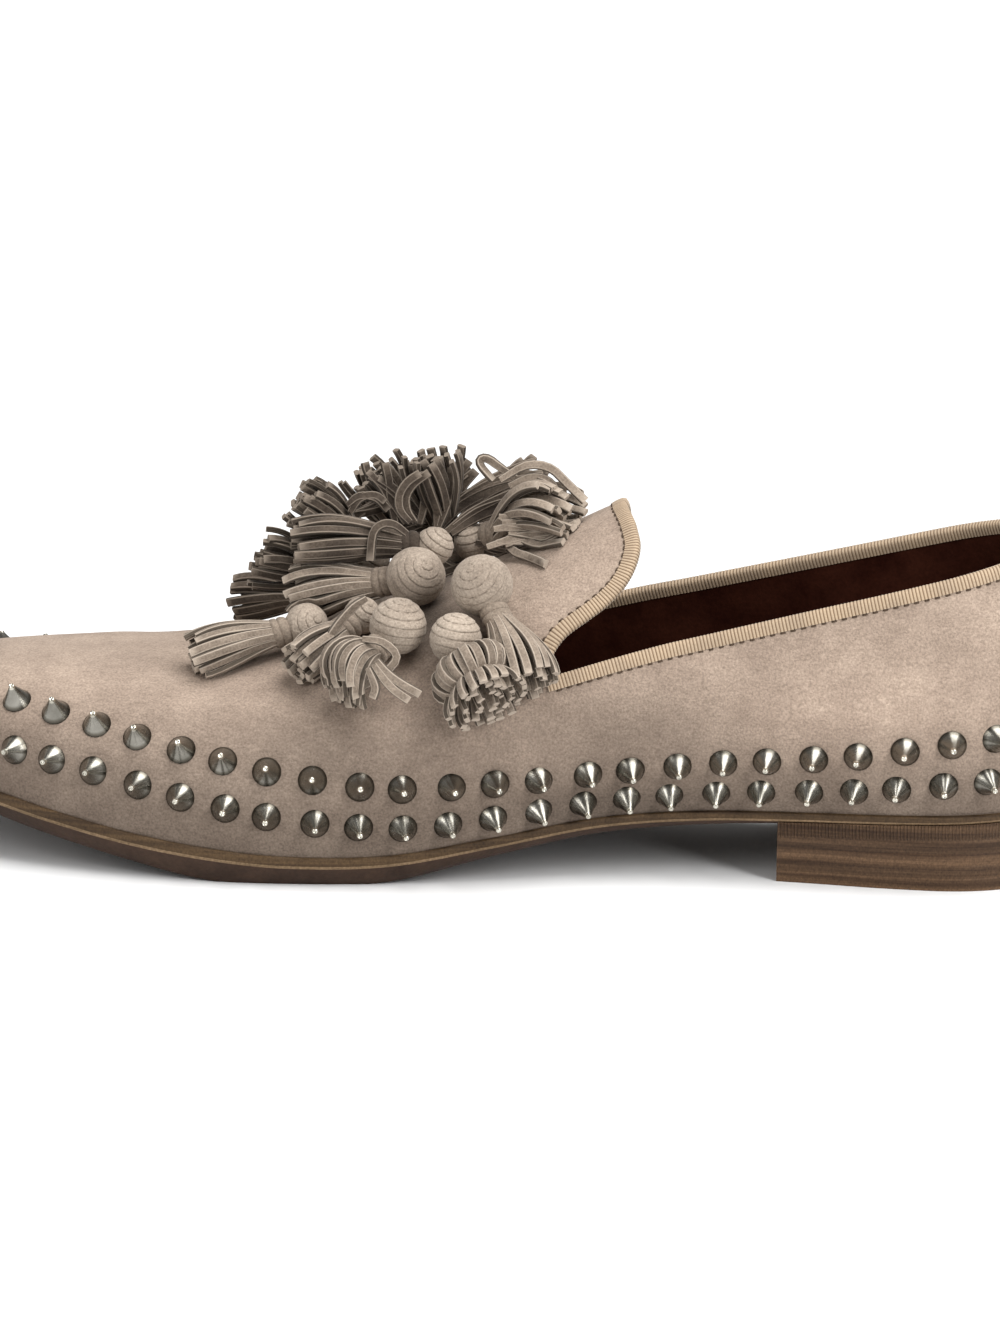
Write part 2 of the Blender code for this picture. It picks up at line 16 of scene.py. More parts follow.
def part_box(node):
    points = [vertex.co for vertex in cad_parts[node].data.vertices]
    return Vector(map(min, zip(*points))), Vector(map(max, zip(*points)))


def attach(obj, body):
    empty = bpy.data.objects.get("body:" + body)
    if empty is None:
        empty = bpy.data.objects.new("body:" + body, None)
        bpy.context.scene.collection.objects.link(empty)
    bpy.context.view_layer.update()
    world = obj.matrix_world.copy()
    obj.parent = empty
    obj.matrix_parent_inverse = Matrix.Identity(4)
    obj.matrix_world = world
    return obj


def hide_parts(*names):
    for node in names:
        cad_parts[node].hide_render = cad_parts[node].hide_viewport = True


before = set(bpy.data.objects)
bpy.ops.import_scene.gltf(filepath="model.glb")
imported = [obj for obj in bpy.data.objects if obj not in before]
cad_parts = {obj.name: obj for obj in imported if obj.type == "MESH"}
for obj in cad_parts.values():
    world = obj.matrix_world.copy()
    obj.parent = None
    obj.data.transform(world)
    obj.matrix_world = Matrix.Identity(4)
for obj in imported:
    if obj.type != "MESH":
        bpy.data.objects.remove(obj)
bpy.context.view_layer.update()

MM = 0.001

# Length of the last and the rounding of its two ends, as in the solids
TOE_X = -150.0
HEEL_X = 150.0
TOE_NOSE = 55.0
TOE_NOSE_HEIGHT = 32.0
HEEL_NOSE = 34.0
NOSE_POWER = 2.2
WALL_SHARE = 1.0 / 3.0

# Sizes shared with the solids
GAP = 0.3
SOLE_LEDGE = 1.2
SOLE_BEVEL = 3.5
INSOLE_INSET = 2.5
INSOLE_THICKNESS = 2.5
HEEL_BREAST_X = 79.0
HEEL_TAPER = 1.8
HEEL_LIFTS = 4
HEEL_LAYER_GAP = 0.2
BINDING_WIDTH = 3.5
STUD_PITCH = 11.2
STUD_START_X = 32.6

# Sections of the last from toe to heel, as in the solids
LAST_COLUMNS = ("x", "axis", "medial", "lateral", "feather", "swell_medial", "swell_lateral", "widest",
                "ridge", "fullness", "sole")
LAST = (
    (-150, -4.0, 24.0, 24.0, 20.4, 0.5, 0.5, 8, 41.0, 2.4, 4.2),
    (-135, -3.5, 29.0, 31.0, 19.8, 0.8, 0.8, 9, 44.2, 2.4, 4.4),
    (-120, -3.0, 33.9, 34.4, 18.0, 1.0, 1.0, 10, 46.3, 2.4, 4.8),
    (-100, -2.0, 40.5, 40.0, 14.0, 1.2, 1.2, 11, 47.6, 2.4, 5.4),
    (-80, -1.0, 46.8, 45.8, 10.4, 1.4, 1.4, 11, 48.8, 2.3, 6.0),
    (-60, -0.5, 50.2, 49.5, 7.9, 1.6, 1.6, 12, 50.4, 2.2, 7.2),
    (-40, 0.0, 50.2, 50.2, 6.4, 2.0, 2.0, 13, 54.2, 2.1, 6.8),
    (-15, 0.0, 46.2, 48.2, 6.9, 3.0, 2.6, 16, 63.5, 2.0, 6.0),
    (10, 0.0, 38.8, 43.8, 10.8, 4.6, 3.4, 19, 74.6, 2.0, 4.2),
    (35, 0.0, 30.0, 39.4, 14.8, 6.6, 4.2, 22, 87.4, 2.0, 3.6),
    (60, 0.0, 25.8, 36.4, 16.6, 7.0, 4.4, 23, 99.0, 2.0, 3.2),
    (85, 0.0, 27.2, 33.8, 17.6, 5.6, 4.0, 23, 107.0, 2.0, 2.6),
    (105, 0.0, 29.6, 32.2, 18.4, 4.2, 3.6, 23, 112.0, 2.0, 2.4),
    (125, 0.0, 30.2, 30.8, 19.2, 3.4, 3.2, 23, 114.0, 2.0, 2.4),
    (150, 0.0, 28.5, 28.5, 20.0, 3.0, 3.0, 23, 114.0, 2.0, 2.4),
)
BACK_COLUMNS = ("height", "lean")
BACK_CURVE = ((0, 0.0), (20, 2.6), (42, 1.6), (62, -1.6), (100, -8.0))
BACK_BLEND_X = 90.0

# Collar edge, tongue edge and stud rows, as in the solids
COLLAR_COLUMNS = ("x", "height")
COLLAR = ((17, 51.2), (44, 59.0), (59, 62.8), (96, 72.8), (134, 83.0), (152, 87.0), (190, 95.0))
OPENING_TILT = -0.012
OPENING_SKEW = 0.12
TONGUE_COLUMNS = ("step", "x", "height")
TONGUE = ((0, 17.0, 51.2), (1, 18.6, 56.0), (2, 21.9, 60.8), (3, 27.9, 65.2), (4, 32.2, 68.4),
          (5, 36.0, 72.2), (6, 38.7, 76.5), (7, 40.2, 81.0), (8, 40.0, 84.5), (9, 37.8, 89.0),
          (10, 30.0, 95.0), (11, 20.0, 99.0))
STUD_COLUMNS = ("x", "lower", "upper", "medial_rise")
STUD_ROWS = ((-150, 12.0, 21.0, 0.0), (-130, 12.6, 21.3, 0.0), (-112, 13.2, 21.7, 2.5),
             (-90, 14.5, 23.4, 1.8), (-67, 13.1, 23.2, 1.1), (-42, 10.8, 21.6, 0.2), (-21, 8.7, 19.0, 0.0),
             (1, 6.4, 16.2, 0.0), (32, 5.2, 12.9, 0.0), (66, 5.6, 13.6, 0.0), (99, 6.5, 15.8, 0.0),
             (123, 8.4, 19.2, 0.0), (150, 10.0, 21.6, 0.0))

# Thickness of the suede with its lining, and how far its cut edge stays inside the ribbon
WALL = 2.0
EDGE_TUCK = 0.9

# Soft creases and dents of the suede, with v from -1 at the medial feather to 1 at the lateral one
CREASE_COLUMNS = ("x", "v", "long", "wide", "turn", "depth")
CREASES = (
    (-62, -0.30, 20.0, 5.0, 72, 0.45),
    (-50, 0.34, 22.0, 5.0, 105, 0.45),
    (-78, 0.10, 24.0, 7.0, 90, 0.30),
    (16, -0.62, 16.0, 5.0, 35, 0.50),
    (48, -0.74, 22.0, 6.0, 12, 0.45),
    (84, -0.66, 24.0, 7.0, 160, 0.40),
    (118, -0.70, 16.0, 6.0, 100, 0.30),
    (20, 0.60, 18.0, 5.0, 145, 0.50),
    (66, 0.70, 24.0, 7.0, 20, 0.40),
    (112, 0.68, 18.0, 6.0, 80, 0.30),
)
# Painted shade and light of the suede by height over the floor, darker towards the sole and paler on top, and
# painted patches of light and shade
PAINTED_SHADE_TOP = 60.0
PAINTED_SHADE_BY_HEIGHT = ((6, 0.50), (16, 0.56), (28, 0.68), (36, 0.84), (44, 1.0), (58, 1.08))
PATCH_COLUMNS = ("x", "z", "long", "high", "painted_shading")
# Painted light and shade: paler patches where light falls on the heel side and toe top, darker ones in the
# shade under the tassels and along the waist
PAINTED_LIGHT_AND_SHADE_PATCHES = (
    (100, 42, 52, 24, 1.33),
    (-27, 36, 38, 15, 0.74),
    (-100, 44, 34, 12, 1.08),
    (-8, 62, 20, 13, 0.28),
    (40, 18, 40, 12, 0.72),
    (39, 41, 42, 15, 0.74),
)
# Dimple that each stud presses into the suede
DIMPLE_DEPTH = 0.45
DIMPLE_RADIUS = 4.6

# The photograph's framing
IMAGE_WIDTH = 1000
IMAGE_HEIGHT = 1333
PIXELS_PER_MM = 4.0
ORIGIN_PIXEL = (465, 843)
CAMERA_AZIMUTH = 4.0
CAMERA_ELEVATION = 13.0
CAMERA_ROLL = 1.3
CAMERA_DISTANCE = 2200.0
SENSOR = 36.0


# Form of the last


def tangent(rows, index, column):
    """Slope of a table's column at one row."""
    low = max(index - 1, 0)
    high = min(index + 1, len(rows) - 1)
    return (rows[high][column] - rows[low][column]) / (rows[high][0] - rows[low][0])


def lookup(rows, columns, key):
    """Smooth values of every column of a table at one place, by name."""
    key = min(max(key, rows[0][0]), rows[-1][0])
    index = 0
    while index < len(rows) - 2 and key > rows[index + 1][0]:
        index += 1
    span = rows[index + 1][0] - rows[index][0]
    t = (key - rows[index][0]) / span
    values = {}
    for column, name in enumerate(columns):
        start = rows[index][column]
        end = rows[index + 1][column]
        start_slope = tangent(rows, index, column) * span if column else span
        end_slope = tangent(rows, index + 1, column) * span if column else span
        values[name] = ((2 * t ** 3 - 3 * t ** 2 + 1) * start + (t ** 3 - 2 * t ** 2 + t) * start_slope
                        + (3 * t ** 2 - 2 * t ** 3) * end + (t ** 3 - t ** 2) * end_slope)
    return values


def nose(depth, reach):
    """Rounding of an end: 0 at its tip, 1 from its reach on."""
    if depth >= reach:
        return 1.0
    return (1.0 - (1.0 - max(depth, 0.0) / reach) ** NOSE_POWER) ** (1.0 / NOSE_POWER)


@functools.lru_cache(maxsize=None)
def section(x):
    """Sizes of the last's section at x, with both ends rounded."""
    row = lookup(LAST, LAST_COLUMNS, x)
    width = nose(x - TOE_X, TOE_NOSE) * nose(HEEL_X - x, HEEL_NOSE)
    height = nose(x - TOE_X, TOE_NOSE_HEIGHT)
    for name in ("medial", "lateral", "swell_medial", "swell_lateral"):
        row[name] *= width
    row["wide_z"] = row["feather"] + row["widest"] * height
    row["ridge"] = row["feather"] + (row["ridge"] - row["feather"]) * height
    return row


def back_lean(x, height):
    """How far the heel's back curve moves a point along X."""
    t = min(max((x - BACK_BLEND_X) / (HEEL_X - BACK_BLEND_X), 0.0), 1.0)
    if t == 0.0:
        return 0.0
    return lookup(BACK_CURVE, BACK_COLUMNS, height)["lean"] * t * t * (3.0 - 2.0 * t)


def surface(x, v):
    """Outer face of the upper: v is -1 at the medial feather, 0 on the ridge and 1 at the lateral feather."""
    row = section(x)
    side = -1.0 if v < 0 else 1.0
    name = "medial" if v < 0 else "lateral"
    half = row[name]
    wide = half + row["swell_" + name]
    share = abs(v)
    if share > 1.0 - WALL_SHARE:
        s = (1.0 - share) / WALL_SHARE
        y = wide - (wide - half) * (1.0 - s) ** 2
        z = row["feather"] + (row["wide_z"] - row["feather"]) * s
    else:
        angle = (1.0 - share / (1.0 - WALL_SHARE)) * math.pi / 2.0
        power = 2.0 / row["fullness"]
        y = wide * max(math.cos(angle), 0.0) ** power
        z = row["wide_z"] + (row["ridge"] - row["wide_z"]) * math.sin(angle) ** power
    return Vector((x + back_lean(x, z - row["feather"]), row["axis"] + side * y, z))


def surface_normal(x, v):
    """Outward direction of the upper's outer face."""
    step_x = 0.5
    step_v = 0.01
    along = surface(x + step_x, v) - surface(x - step_x, v)
    across = surface(x, v + step_v) - surface(x, v - step_v)
    return along.cross(across).normalized()


def bisect(function, low, high, rounds=40):
    """Place where a function falls through zero."""
    for _ in range(rounds):
        middle = (low + high) / 2.0
        if function(middle) > 0.0:
            low = middle
        else:
            high = middle
    return (low + high) / 2.0


def v_at_height(x, side, height):
    """Place on the section, on one side, that lies a height over the feather, or None over the ridge."""
    target = section(x)["feather"] + height
    if section(x)["ridge"] <= target:
        return None
    return side * bisect(lambda share: surface(x, side * share).z - target, 0.0, 1.0, rounds=30)


def v_at_width(x, y):
    """Place on the shoulder of the section that lies a distance sideways."""
    row = section(x)
    name = "medial" if y < row["axis"] else "lateral"
    wide = row[name] + row["swell_" + name]
    reach = min(abs(y - row["axis"]) / wide, 1.0)
    angle = math.acos(reach ** (row["fullness"] / 2.0))
    share = (1.0 - angle / (math.pi / 2.0)) * (1.0 - WALL_SHARE)
    return -share if y < row["axis"] else share


def stations(toe, middle, heel):
    """Places along the shoe, close together at both round ends."""
    toe_end = TOE_X + TOE_NOSE
    heel_start = HEEL_X - HEEL_NOSE
    places = [TOE_X + TOE_NOSE * (1.0 - math.cos(math.pi / 2.0 * k / toe)) for k in range(toe)]
    places += [toe_end + (heel_start - toe_end) * k / middle for k in range(middle)]
    places += [heel_start + HEEL_NOSE * math.sin(math.pi / 2.0 * k / heel) for k in range(heel + 1)]
    return places


# From the shoe's frame to the row frame


def outline(offset, start_x=TOE_X, density=(40, 90, 30)):
    """Both sides of the feather line seen from above, moved out by a distance, from the toe or from a cut."""
    places = [x for x in stations(*density) if x > start_x + 0.5]
    places.insert(0, start_x)
    medial = []
    lateral = []
    for x in places:
        row = section(x)
        medial.append(Vector((x, row["axis"] - row["medial"])))
        lateral.append(Vector((x, row["axis"] + row["lateral"])))
    closed_toe = start_x == TOE_X
    moved = []
    for side, points in ((-1.0, medial), (1.0, lateral)):
        run = []
        for k, point in enumerate(points):
            if k == len(points) - 1:
                out = Vector((1.0, 0.0))
            elif k == 0 and closed_toe:
                out = Vector((-1.0, 0.0))
            else:
                along = points[k + 1] - points[max(k - 1, 0)]
                out = Vector((-along.y, along.x)).normalized() * side
            place = point + out * offset
            if k == 0 and not closed_toe:
                place.x = start_x
            run.append(place)
        moved.append(run)
    return moved


def shoe_origin():
    """Where the shoe's own origin lies in the row frame, in metres, from the outsole's box."""
    low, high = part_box("outsole")
    medial, lateral = outline(SOLE_LEDGE)
    width_middle = (min(point.y for point in medial) + max(point.y for point in lateral)) / 2.0
    length_middle = (TOE_X + HEEL_X) / 2.0
    along = (low.x + high.x) / 2.0 - length_middle * MM
    aside = (low.y + high.y) / 2.0 - width_middle * MM
    return Vector((along, aside, 0.0))


ORIGIN = shoe_origin()


def view_axes():
    """Right, up and ahead of the photograph's camera, rolled as the shoe stands there."""
    azimuth = math.radians(CAMERA_AZIMUTH)
    elevation = math.radians(CAMERA_ELEVATION)
    roll = math.radians(CAMERA_ROLL)
    right = Vector((math.cos(azimuth), math.sin(azimuth), 0.0))
    ahead = Vector((-math.sin(azimuth) * math.cos(elevation), math.cos(azimuth) * math.cos(elevation),
                    -math.sin(elevation)))
    up = right.cross(ahead)
    return right * math.cos(roll) + up * math.sin(roll), up * math.cos(roll) - right * math.sin(roll), ahead


VIEW = view_axes()


# Meshes and pieces


def mesh_object(name, bm, materials=(), sharp=35):
    """Finish a bmesh in the shoe's millimetres as an object in the row frame."""
    bmesh.ops.scale(bm, vec=(MM, MM, MM), verts=bm.verts)
    bmesh.ops.translate(bm, vec=ORIGIN, verts=bm.verts)
    mesh = bpy.data.meshes.new(name)
    bm.to_mesh(mesh)
    bm.free()
    mesh.shade_smooth()
    mesh.set_sharp_from_angle(angle=math.radians(sharp))
    item = bpy.data.objects.new(name, mesh)
    bpy.context.scene.collection.objects.link(item)
    for material in materials:
        mesh.materials.append(material)
    return item


def turned_ring(bm, foot, turn, radius, height, segments, slant=0.0):
    """Ring of points round an axis, higher on one side by a slant."""
    ring = []
    for k in range(segments):
        angle = 2.0 * math.pi * k / segments
        rise = height + slant * math.sin(angle)
        place = Vector((radius * math.cos(angle), radius * math.sin(angle), rise))
        ring.append(bm.verts.new(foot + turn @ place))
    return ring


def bridge(bm, near, far):
    """Faces between two closed rings."""
    steps = [(k, (k + 1) % len(near)) for k in range(len(near))]
    return [bm.faces.new((near[k], near[after], far[after], far[k])) for k, after in steps]


def add_band(bm, layer, near, far, places, shares):
    """Faces between two closed rings, with UV from the places round them and each ring's share."""
    faces = bridge(bm, near, far)
    for k, face in enumerate(faces):
        corners = ((k, shares[0]), (k + 1, shares[0]), (k + 1, shares[1]), (k, shares[1]))
        for loop, (step, share) in zip(face.loops, corners):
            loop[layer].uv = (places[step], share)
    return faces


def lay_flat(faces, layer, place):
    """Give every corner of some faces one place on the UV."""
    for face in faces:
        for loop in face.loops:
            loop[layer].uv = place


def finish_piece(item, slot, *nodes):
    """Set a piece on the shoe's body and hide the nodes that it stands for; the slot is not used."""
    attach(item, "root")
    if nodes:
        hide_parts(*nodes)


def apply_modifiers(item):
    """Bake an object's modifiers into its mesh."""
    graph = bpy.context.evaluated_depsgraph_get()
    mesh = bpy.data.meshes.new_from_object(item.evaluated_get(graph))
    item.modifiers.clear()
    item.data = mesh


# Materials


def add_node(tree, kind, **values):
    """New node with its properties and unlinked inputs set by name."""
    node = tree.nodes.new(kind)
    for name, value in values.items():
        label = name.replace("_", " ").title()
        if label in node.inputs:
            node.inputs[label].default_value = value
        else:
            setattr(node, name, value)
    return node


def coordinates(tree, kind="Object", stretch=(1.0, 1.0, 1.0)):
    """Texture coordinates, scaled along each axis."""
    source = add_node(tree, "ShaderNodeTexCoord")
    mapping = add_node(tree, "ShaderNodeMapping", scale=stretch)
    tree.links.new(source.outputs[kind], mapping.inputs["Vector"])
    return mapping.outputs["Vector"]


def noise(tree, vector, size, detail=3.0, roughness=0.55):
    """Noise whose grains are about a size in millimetres."""
    node = add_node(tree, "ShaderNodeTexNoise", scale=1.0 / (size * MM), detail=detail, roughness=roughness)
    tree.links.new(vector, node.inputs["Vector"])
    return node.outputs["Fac"]


def axes_of(tree, vector):
    """Outputs of a vector by axis."""
    node = add_node(tree, "ShaderNodeSeparateXYZ")
    tree.links.new(vector, node.inputs["Vector"])
    return node.outputs


def set_input(tree, socket, value):
    """Give an input a socket, a colour or a plain value."""
    if isinstance(value, bpy.types.NodeSocket):
        tree.links.new(value, socket)
    elif isinstance(value, tuple) and len(value) < len(socket.default_value):
        socket.default_value = (*value, 1.0)
    else:
        socket.default_value = value


def calculate(tree, kind, operation, *values):
    """Result of a math node on sockets or plain values."""
    node = add_node(tree, kind, operation=operation)
    for socket, value in zip(node.inputs, values):
        set_input(tree, socket, value)
    return node.outputs["Value" if operation == "LENGTH" else 0]


def ramp(tree, factor, *stops):
    """Colours along a factor, each stop a place and a colour or a grey."""
    node = add_node(tree, "ShaderNodeValToRGB")
    points = node.color_ramp.elements
    while len(points) < len(stops):
        points.new(0.5)
    for point, (place, colour) in zip(points, stops):
        point.position = place
        point.color = (*(colour if isinstance(colour, tuple) else (colour,) * 3), 1.0)
    tree.links.new(factor, node.inputs["Fac"])
    return node.outputs["Color"]


def mix(tree, kind, share, first, second):
    """Mix two colours, where the share and the second colour may be sockets."""
    node = add_node(tree, "ShaderNodeMix", data_type="RGBA", blend_type=kind)
    for place, value in ((0, share), (6, first), (7, second)):
        set_input(tree, node.inputs[place], value)
    return node.outputs[2]


def bump(tree, height, depth, base=None):
    """Bump of a depth in millimetres, over another one if given."""
    node = add_node(tree, "ShaderNodeBump", distance=depth * MM, strength=1.0)
    tree.links.new(height, node.inputs["Height"])
    if base:
        tree.links.new(base, node.inputs["Normal"])
    return node.outputs["Normal"]


def spread(tree, factor, low, high, course="LINEAR"):
    """Turn a factor into a range of values."""
    node = add_node(tree, "ShaderNodeMapRange", interpolation_type=course, to_min=low, to_max=high)
    tree.links.new(factor, node.inputs["Value"])
    return node.outputs["Result"]


def new_material(name, **constants):
    """Principled material with its constant values set on the shader."""
    material = bpy.data.materials.new(name)
    material.use_nodes = True
    tree = material.node_tree
    shader = tree.nodes["Principled BSDF"]
    for key, value in constants.items():
        shader.inputs[key.replace("_", " ").title().replace("Ior", "IOR")].default_value = value
    return material, tree, shader


def wire(tree, shader, colour, roughness=None, normal=None):
    """Link a shader's colour and, where given, its roughness and normal."""
    for name, socket in (("Base Color", colour), ("Roughness", roughness), ("Normal", normal)):
        if socket:
            tree.links.new(socket, shader.inputs[name])


def painted(material):
    """Node tree, shader and present colour of a material."""
    tree = material.node_tree
    shader = tree.nodes["Principled BSDF"]
    return tree, shader, shader.inputs["Base Color"].links[0].from_socket


def suede_material(name, dark, light, sheen):
    """Napped suede: brushed patches, short fibres and a soft bloom at grazing angles."""
    material, tree, shader = new_material(name, specular_ior_level=0.12, sheen_weight=sheen,
                                          sheen_roughness=0.42, sheen_tint=(1.0, 0.93, 0.86, 1.0))
    place = coordinates(tree)
    brushed = coordinates(tree, stretch=(0.6, 1.0, 1.5))
    patches = ramp(tree, noise(tree, place, 16.0, 4.0, 0.6), (0.36, dark), (0.66, light))
    nap = ramp(tree, noise(tree, brushed, 2.2, 4.0, 0.65), (0.30, (0.89, 0.88, 0.87)), (0.72, 1.07))
    fibres = ramp(tree, noise(tree, place, 0.55, 2.0, 0.6), (0.28, (0.62, 0.61, 0.60)), (0.74, 1.30))
    colour = mix(tree, "MULTIPLY", 0.8, mix(tree, "MULTIPLY", 0.85, patches, nap), fibres)
    soft = bump(tree, noise(tree, brushed, 1.6, 3.0), 0.22)
    wire(tree, shader, colour, spread(tree, noise(tree, place, 3.0), 0.86, 1.0),
         bump(tree, noise(tree, place, 0.42, 2.0, 0.6), 0.16, soft))
    return material


def stud_material():
    """Turned pewter: faint lathe lines, smoky toning, a foot darkened partly by grime and partly by painted
    shade, and a painted highlight on the tip.
    """
    material, tree, shader = new_material("pewter", metallic=1.0)
    place = coordinates(tree)
    toning = ramp(tree, noise(tree, place, 6.0), (0.30, (0.19, 0.181, 0.158)), (0.72, (0.33, 0.315, 0.281)))
    lines = add_node(tree, "ShaderNodeTexNoise", scale=3.0, detail=2.0)
    tree.links.new(coordinates(tree, "UV", (0.0, 30.0, 1.0)), lines.inputs["Vector"])
    streaks = ramp(tree, lines.outputs["Fac"], (0.30, (0.86, 0.86, 0.85)), (0.70, 1.06))
    height = axes_of(tree, coordinates(tree, "UV"))["Y"]
    # Darker round the foot, partly grime and partly painted contact shade; much paler at the tip, a painted
    # highlight
    foot_shade_and_tip_highlight = ramp(tree, height, (0.0, (0.08, 0.07, 0.06)), (0.10, (0.42, 0.40, 0.37)), (0.22, 1.0),
                   (0.86, 1.0), (0.91, (2.3, 2.3, 2.25)))
    colour = mix(tree, "MULTIPLY", 1.0, mix(tree, "MULTIPLY", 0.7, toning, streaks), foot_shade_and_tip_highlight)
    wire(tree, shader, colour, spread(tree, noise(tree, place, 4.0), 0.20, 0.32),
         bump(tree, lines.outputs["Fac"], 0.008))
    return material


def smooth_leather(name, dark, light, gloss, shine=0.4, grain=0.9):
    """Smooth leather with pores, cloudy dye and uneven polish."""
    material, tree, shader = new_material(name, specular_ior_level=shine)
    place = coordinates(tree)
    cloud = ramp(tree, noise(tree, place, 9.0, 5.0, 0.6), (0.32, dark), (0.70, light))
    pores = noise(tree, place, grain, 3.0)
    specks = ramp(tree, pores, (0.34, 0.72), (0.60, 1.08))
    wire(tree, shader, mix(tree, "MULTIPLY", 0.6, cloud, specks),
         spread(tree, noise(tree, place, 4.0), gloss, gloss + 0.22), bump(tree, pores, 0.09))
    return material


def edge_leather(name, dark, light, gloss, teeth=0.0):
    """Cut leather edge: layers of fibre along it, and pressed teeth near its top where it has them."""
    material, tree, shader = new_material(name, specular_ior_level=0.2)
    place = coordinates(tree, stretch=(0.015, 0.015, 1.0))
    layers = ramp(tree, noise(tree, place, 1.3, 3.0, 0.6), (0.34, dark), (0.66, light))
    fibre = noise(tree, coordinates(tree, stretch=(1.0, 1.0, 0.7)), 0.5, 3.0, 0.7)
    specks = ramp(tree, fibre, (0.30, (0.50, 0.48, 0.46)), (0.66, 1.22))
    colour = mix(tree, "MULTIPLY", 0.85, layers, specks)
    normal = bump(tree, fibre, 0.05)
    if teeth:
        place_on = axes_of(tree, coordinates(tree, "UV"))
        wave = calculate(tree, "ShaderNodeMath", "MULTIPLY", place_on["X"], 2.0 * math.pi / teeth)
        ridge = calculate(tree, "ShaderNodeMath", "SINE", wave)
        band = ramp(tree, place_on["Y"], (0.16, 0.0), (0.34, 1.0))
        pressed = calculate(tree, "ShaderNodeMath", "MULTIPLY", ridge, band)
        # Painted shade: darker colour in the teeth's valleys
        painted_groove_shade = ramp(tree, spread(tree, pressed, 0.5, 1.0), (0.30, (0.45, 0.42, 0.40)), (0.60, 1.0))
        colour = mix(tree, "MULTIPLY", 0.9, colour, painted_groove_shade)
        normal = bump(tree, pressed, 0.18, normal)
    wire(tree, shader, colour, spread(tree, noise(tree, place, 2.0), gloss, gloss + 0.2), normal)
    return material


# Upper and its lining


def crease_frames():
    """Middle and directions of every crease on the outer face."""
    frames = []
    for values in CREASES:
        row = dict(zip(CREASE_COLUMNS, values))
        out = surface_normal(row["x"], row["v"])
        ahead = (surface(row["x"] + 1.0, row["v"]) - surface(row["x"] - 1.0, row["v"])).normalized()
        aside = out.cross(ahead)
        turn = math.radians(row["turn"])
        row["middle"] = surface(row["x"], row["v"])
        row["along"] = (ahead * math.cos(turn) + aside * math.sin(turn)) / row["long"]
        row["over"] = (aside * math.cos(turn) - ahead * math.sin(turn)) / row["wide"]
        frames.append(row)
    return frames


def crease_height(point, frames):
    """Soft trough with a low ridge on either side for every crease near a point."""
    run_end = 2.5
    over_end = 4.0
    ridge_place = 1.6
    height = 0.0
    for row in frames:
        step = point - row["middle"]
        run = step.dot(row["along"])
        over = abs(step.dot(row["over"]))
        if abs(run) < run_end and over < over_end:
            trough = math.exp(-over * over) - 0.5 * math.exp(-1.5 * (over - ridge_place) ** 2)
            height -= row["depth"] * math.exp(-run * run) * trough
    return height


def row_front(row_name):
    """Foremost place of a stud row, where it crosses the toe's ridge."""
    low = TOE_X
    high = 0.0
    for _ in range(30):
        middle = (low + high) / 2.0
        if v_at_height(middle, 1.0, lookup(STUD_ROWS, STUD_COLUMNS, middle)[row_name]) is None:
            low = middle
        else:
            high = middle
    return high


def stud_places(row_name):
    """Places of one stud row, evenly spaced round the shoe from a stud at the medial waist."""
    samples = 300
    front = row_front(row_name)
    loop = []
    for side in (-1.0, 1.0):
        run = []
        for k in range(samples + 1):
            x = HEEL_X + (front - HEEL_X) * (1.0 - math.cos(math.pi * k / samples)) / 2.0
            row = lookup(STUD_ROWS, STUD_COLUMNS, x)
            rise = row["medial_rise"] if row_name == "upper" and side < 0 else 0.0
            run.append((x, v_at_height(x, side, row[row_name] + rise)))
        loop += run if side < 0 else list(reversed(run))
    begin = next(k for k, place in enumerate(loop) if place[0] < STUD_START_X)
    loop = loop[begin:] + loop[:begin]
    points = [surface(*place) for place in loop]
    steps = [(points[(k + 1) % len(points)] - point).length for k, point in enumerate(points)]
    count = round(sum(steps) / STUD_PITCH)
    pitch = sum(steps) / count
    places = []
    travelled = 0.0
    for place, step in zip(loop, steps):
        if travelled >= len(places) * pitch and len(places) < count:
            places.append(place)
        travelled += step
    return places


STUD_PLACES = stud_places("lower") + stud_places("upper")
STUDS = [(surface(*place), surface_normal(*place)) for place in STUD_PLACES]


def opening_profile(grow):
    """Side outline of the collar and throat opening, grown into the upper by a distance."""
    collar_steps = 60
    tongue_steps = 56
    sharpest = 0.6
    path = []
    for k in range(collar_steps, 0, -1):
        x = COLLAR[0][0] + (COLLAR[-1][0] - COLLAR[0][0]) * k / collar_steps
        path.append(Vector((x, lookup(COLLAR, COLLAR_COLUMNS, x)["height"])))
    for k in range(tongue_steps + 1):
        row = lookup(TONGUE, TONGUE_COLUMNS, TONGUE[-1][0] * k / tongue_steps)
        path.append(Vector((row["x"], row["height"])))
    grown = []
    for k, point in enumerate(path):
        before = (point - path[max(k - 1, 0)]).normalized() if k else (path[1] - point).normalized()
        after = (path[k + 1] - point).normalized() if k + 1 < len(path) else before
        along = (before + after).normalized()
        outward = Vector((-along.y, along.x))
        square = max(along.dot(before), sharpest)
        grown.append(point + outward * grow / square)
    return grown


def opening_cutter(grow):
    """Solid that takes away the collar and throat, running askew by the opening's tilt and skew."""
    reach_y = 60.0
    roof = 170.0
    profile = opening_profile(grow)
    profile.append(Vector((profile[-1].x, roof)))
    profile.append(Vector((profile[0].x, roof)))
    bm = bmesh.new()
    sides = []
    for y in (-reach_y, reach_y):
        skew = OPENING_SKEW * y
        tilt = OPENING_TILT * y
        sides.append([bm.verts.new((point.x - skew, y, point.y + tilt)) for point in profile])
    bm.faces.new(sides[0])
    bm.faces.new(list(reversed(sides[1])))
    count = len(profile)
    for k in range(count):
        bm.faces.new((sides[0][k], sides[1][k], sides[1][(k + 1) % count], sides[0][(k + 1) % count]))
    bmesh.ops.recalc_face_normals(bm, faces=bm.faces)
    return mesh_object("opening_cutter", bm)


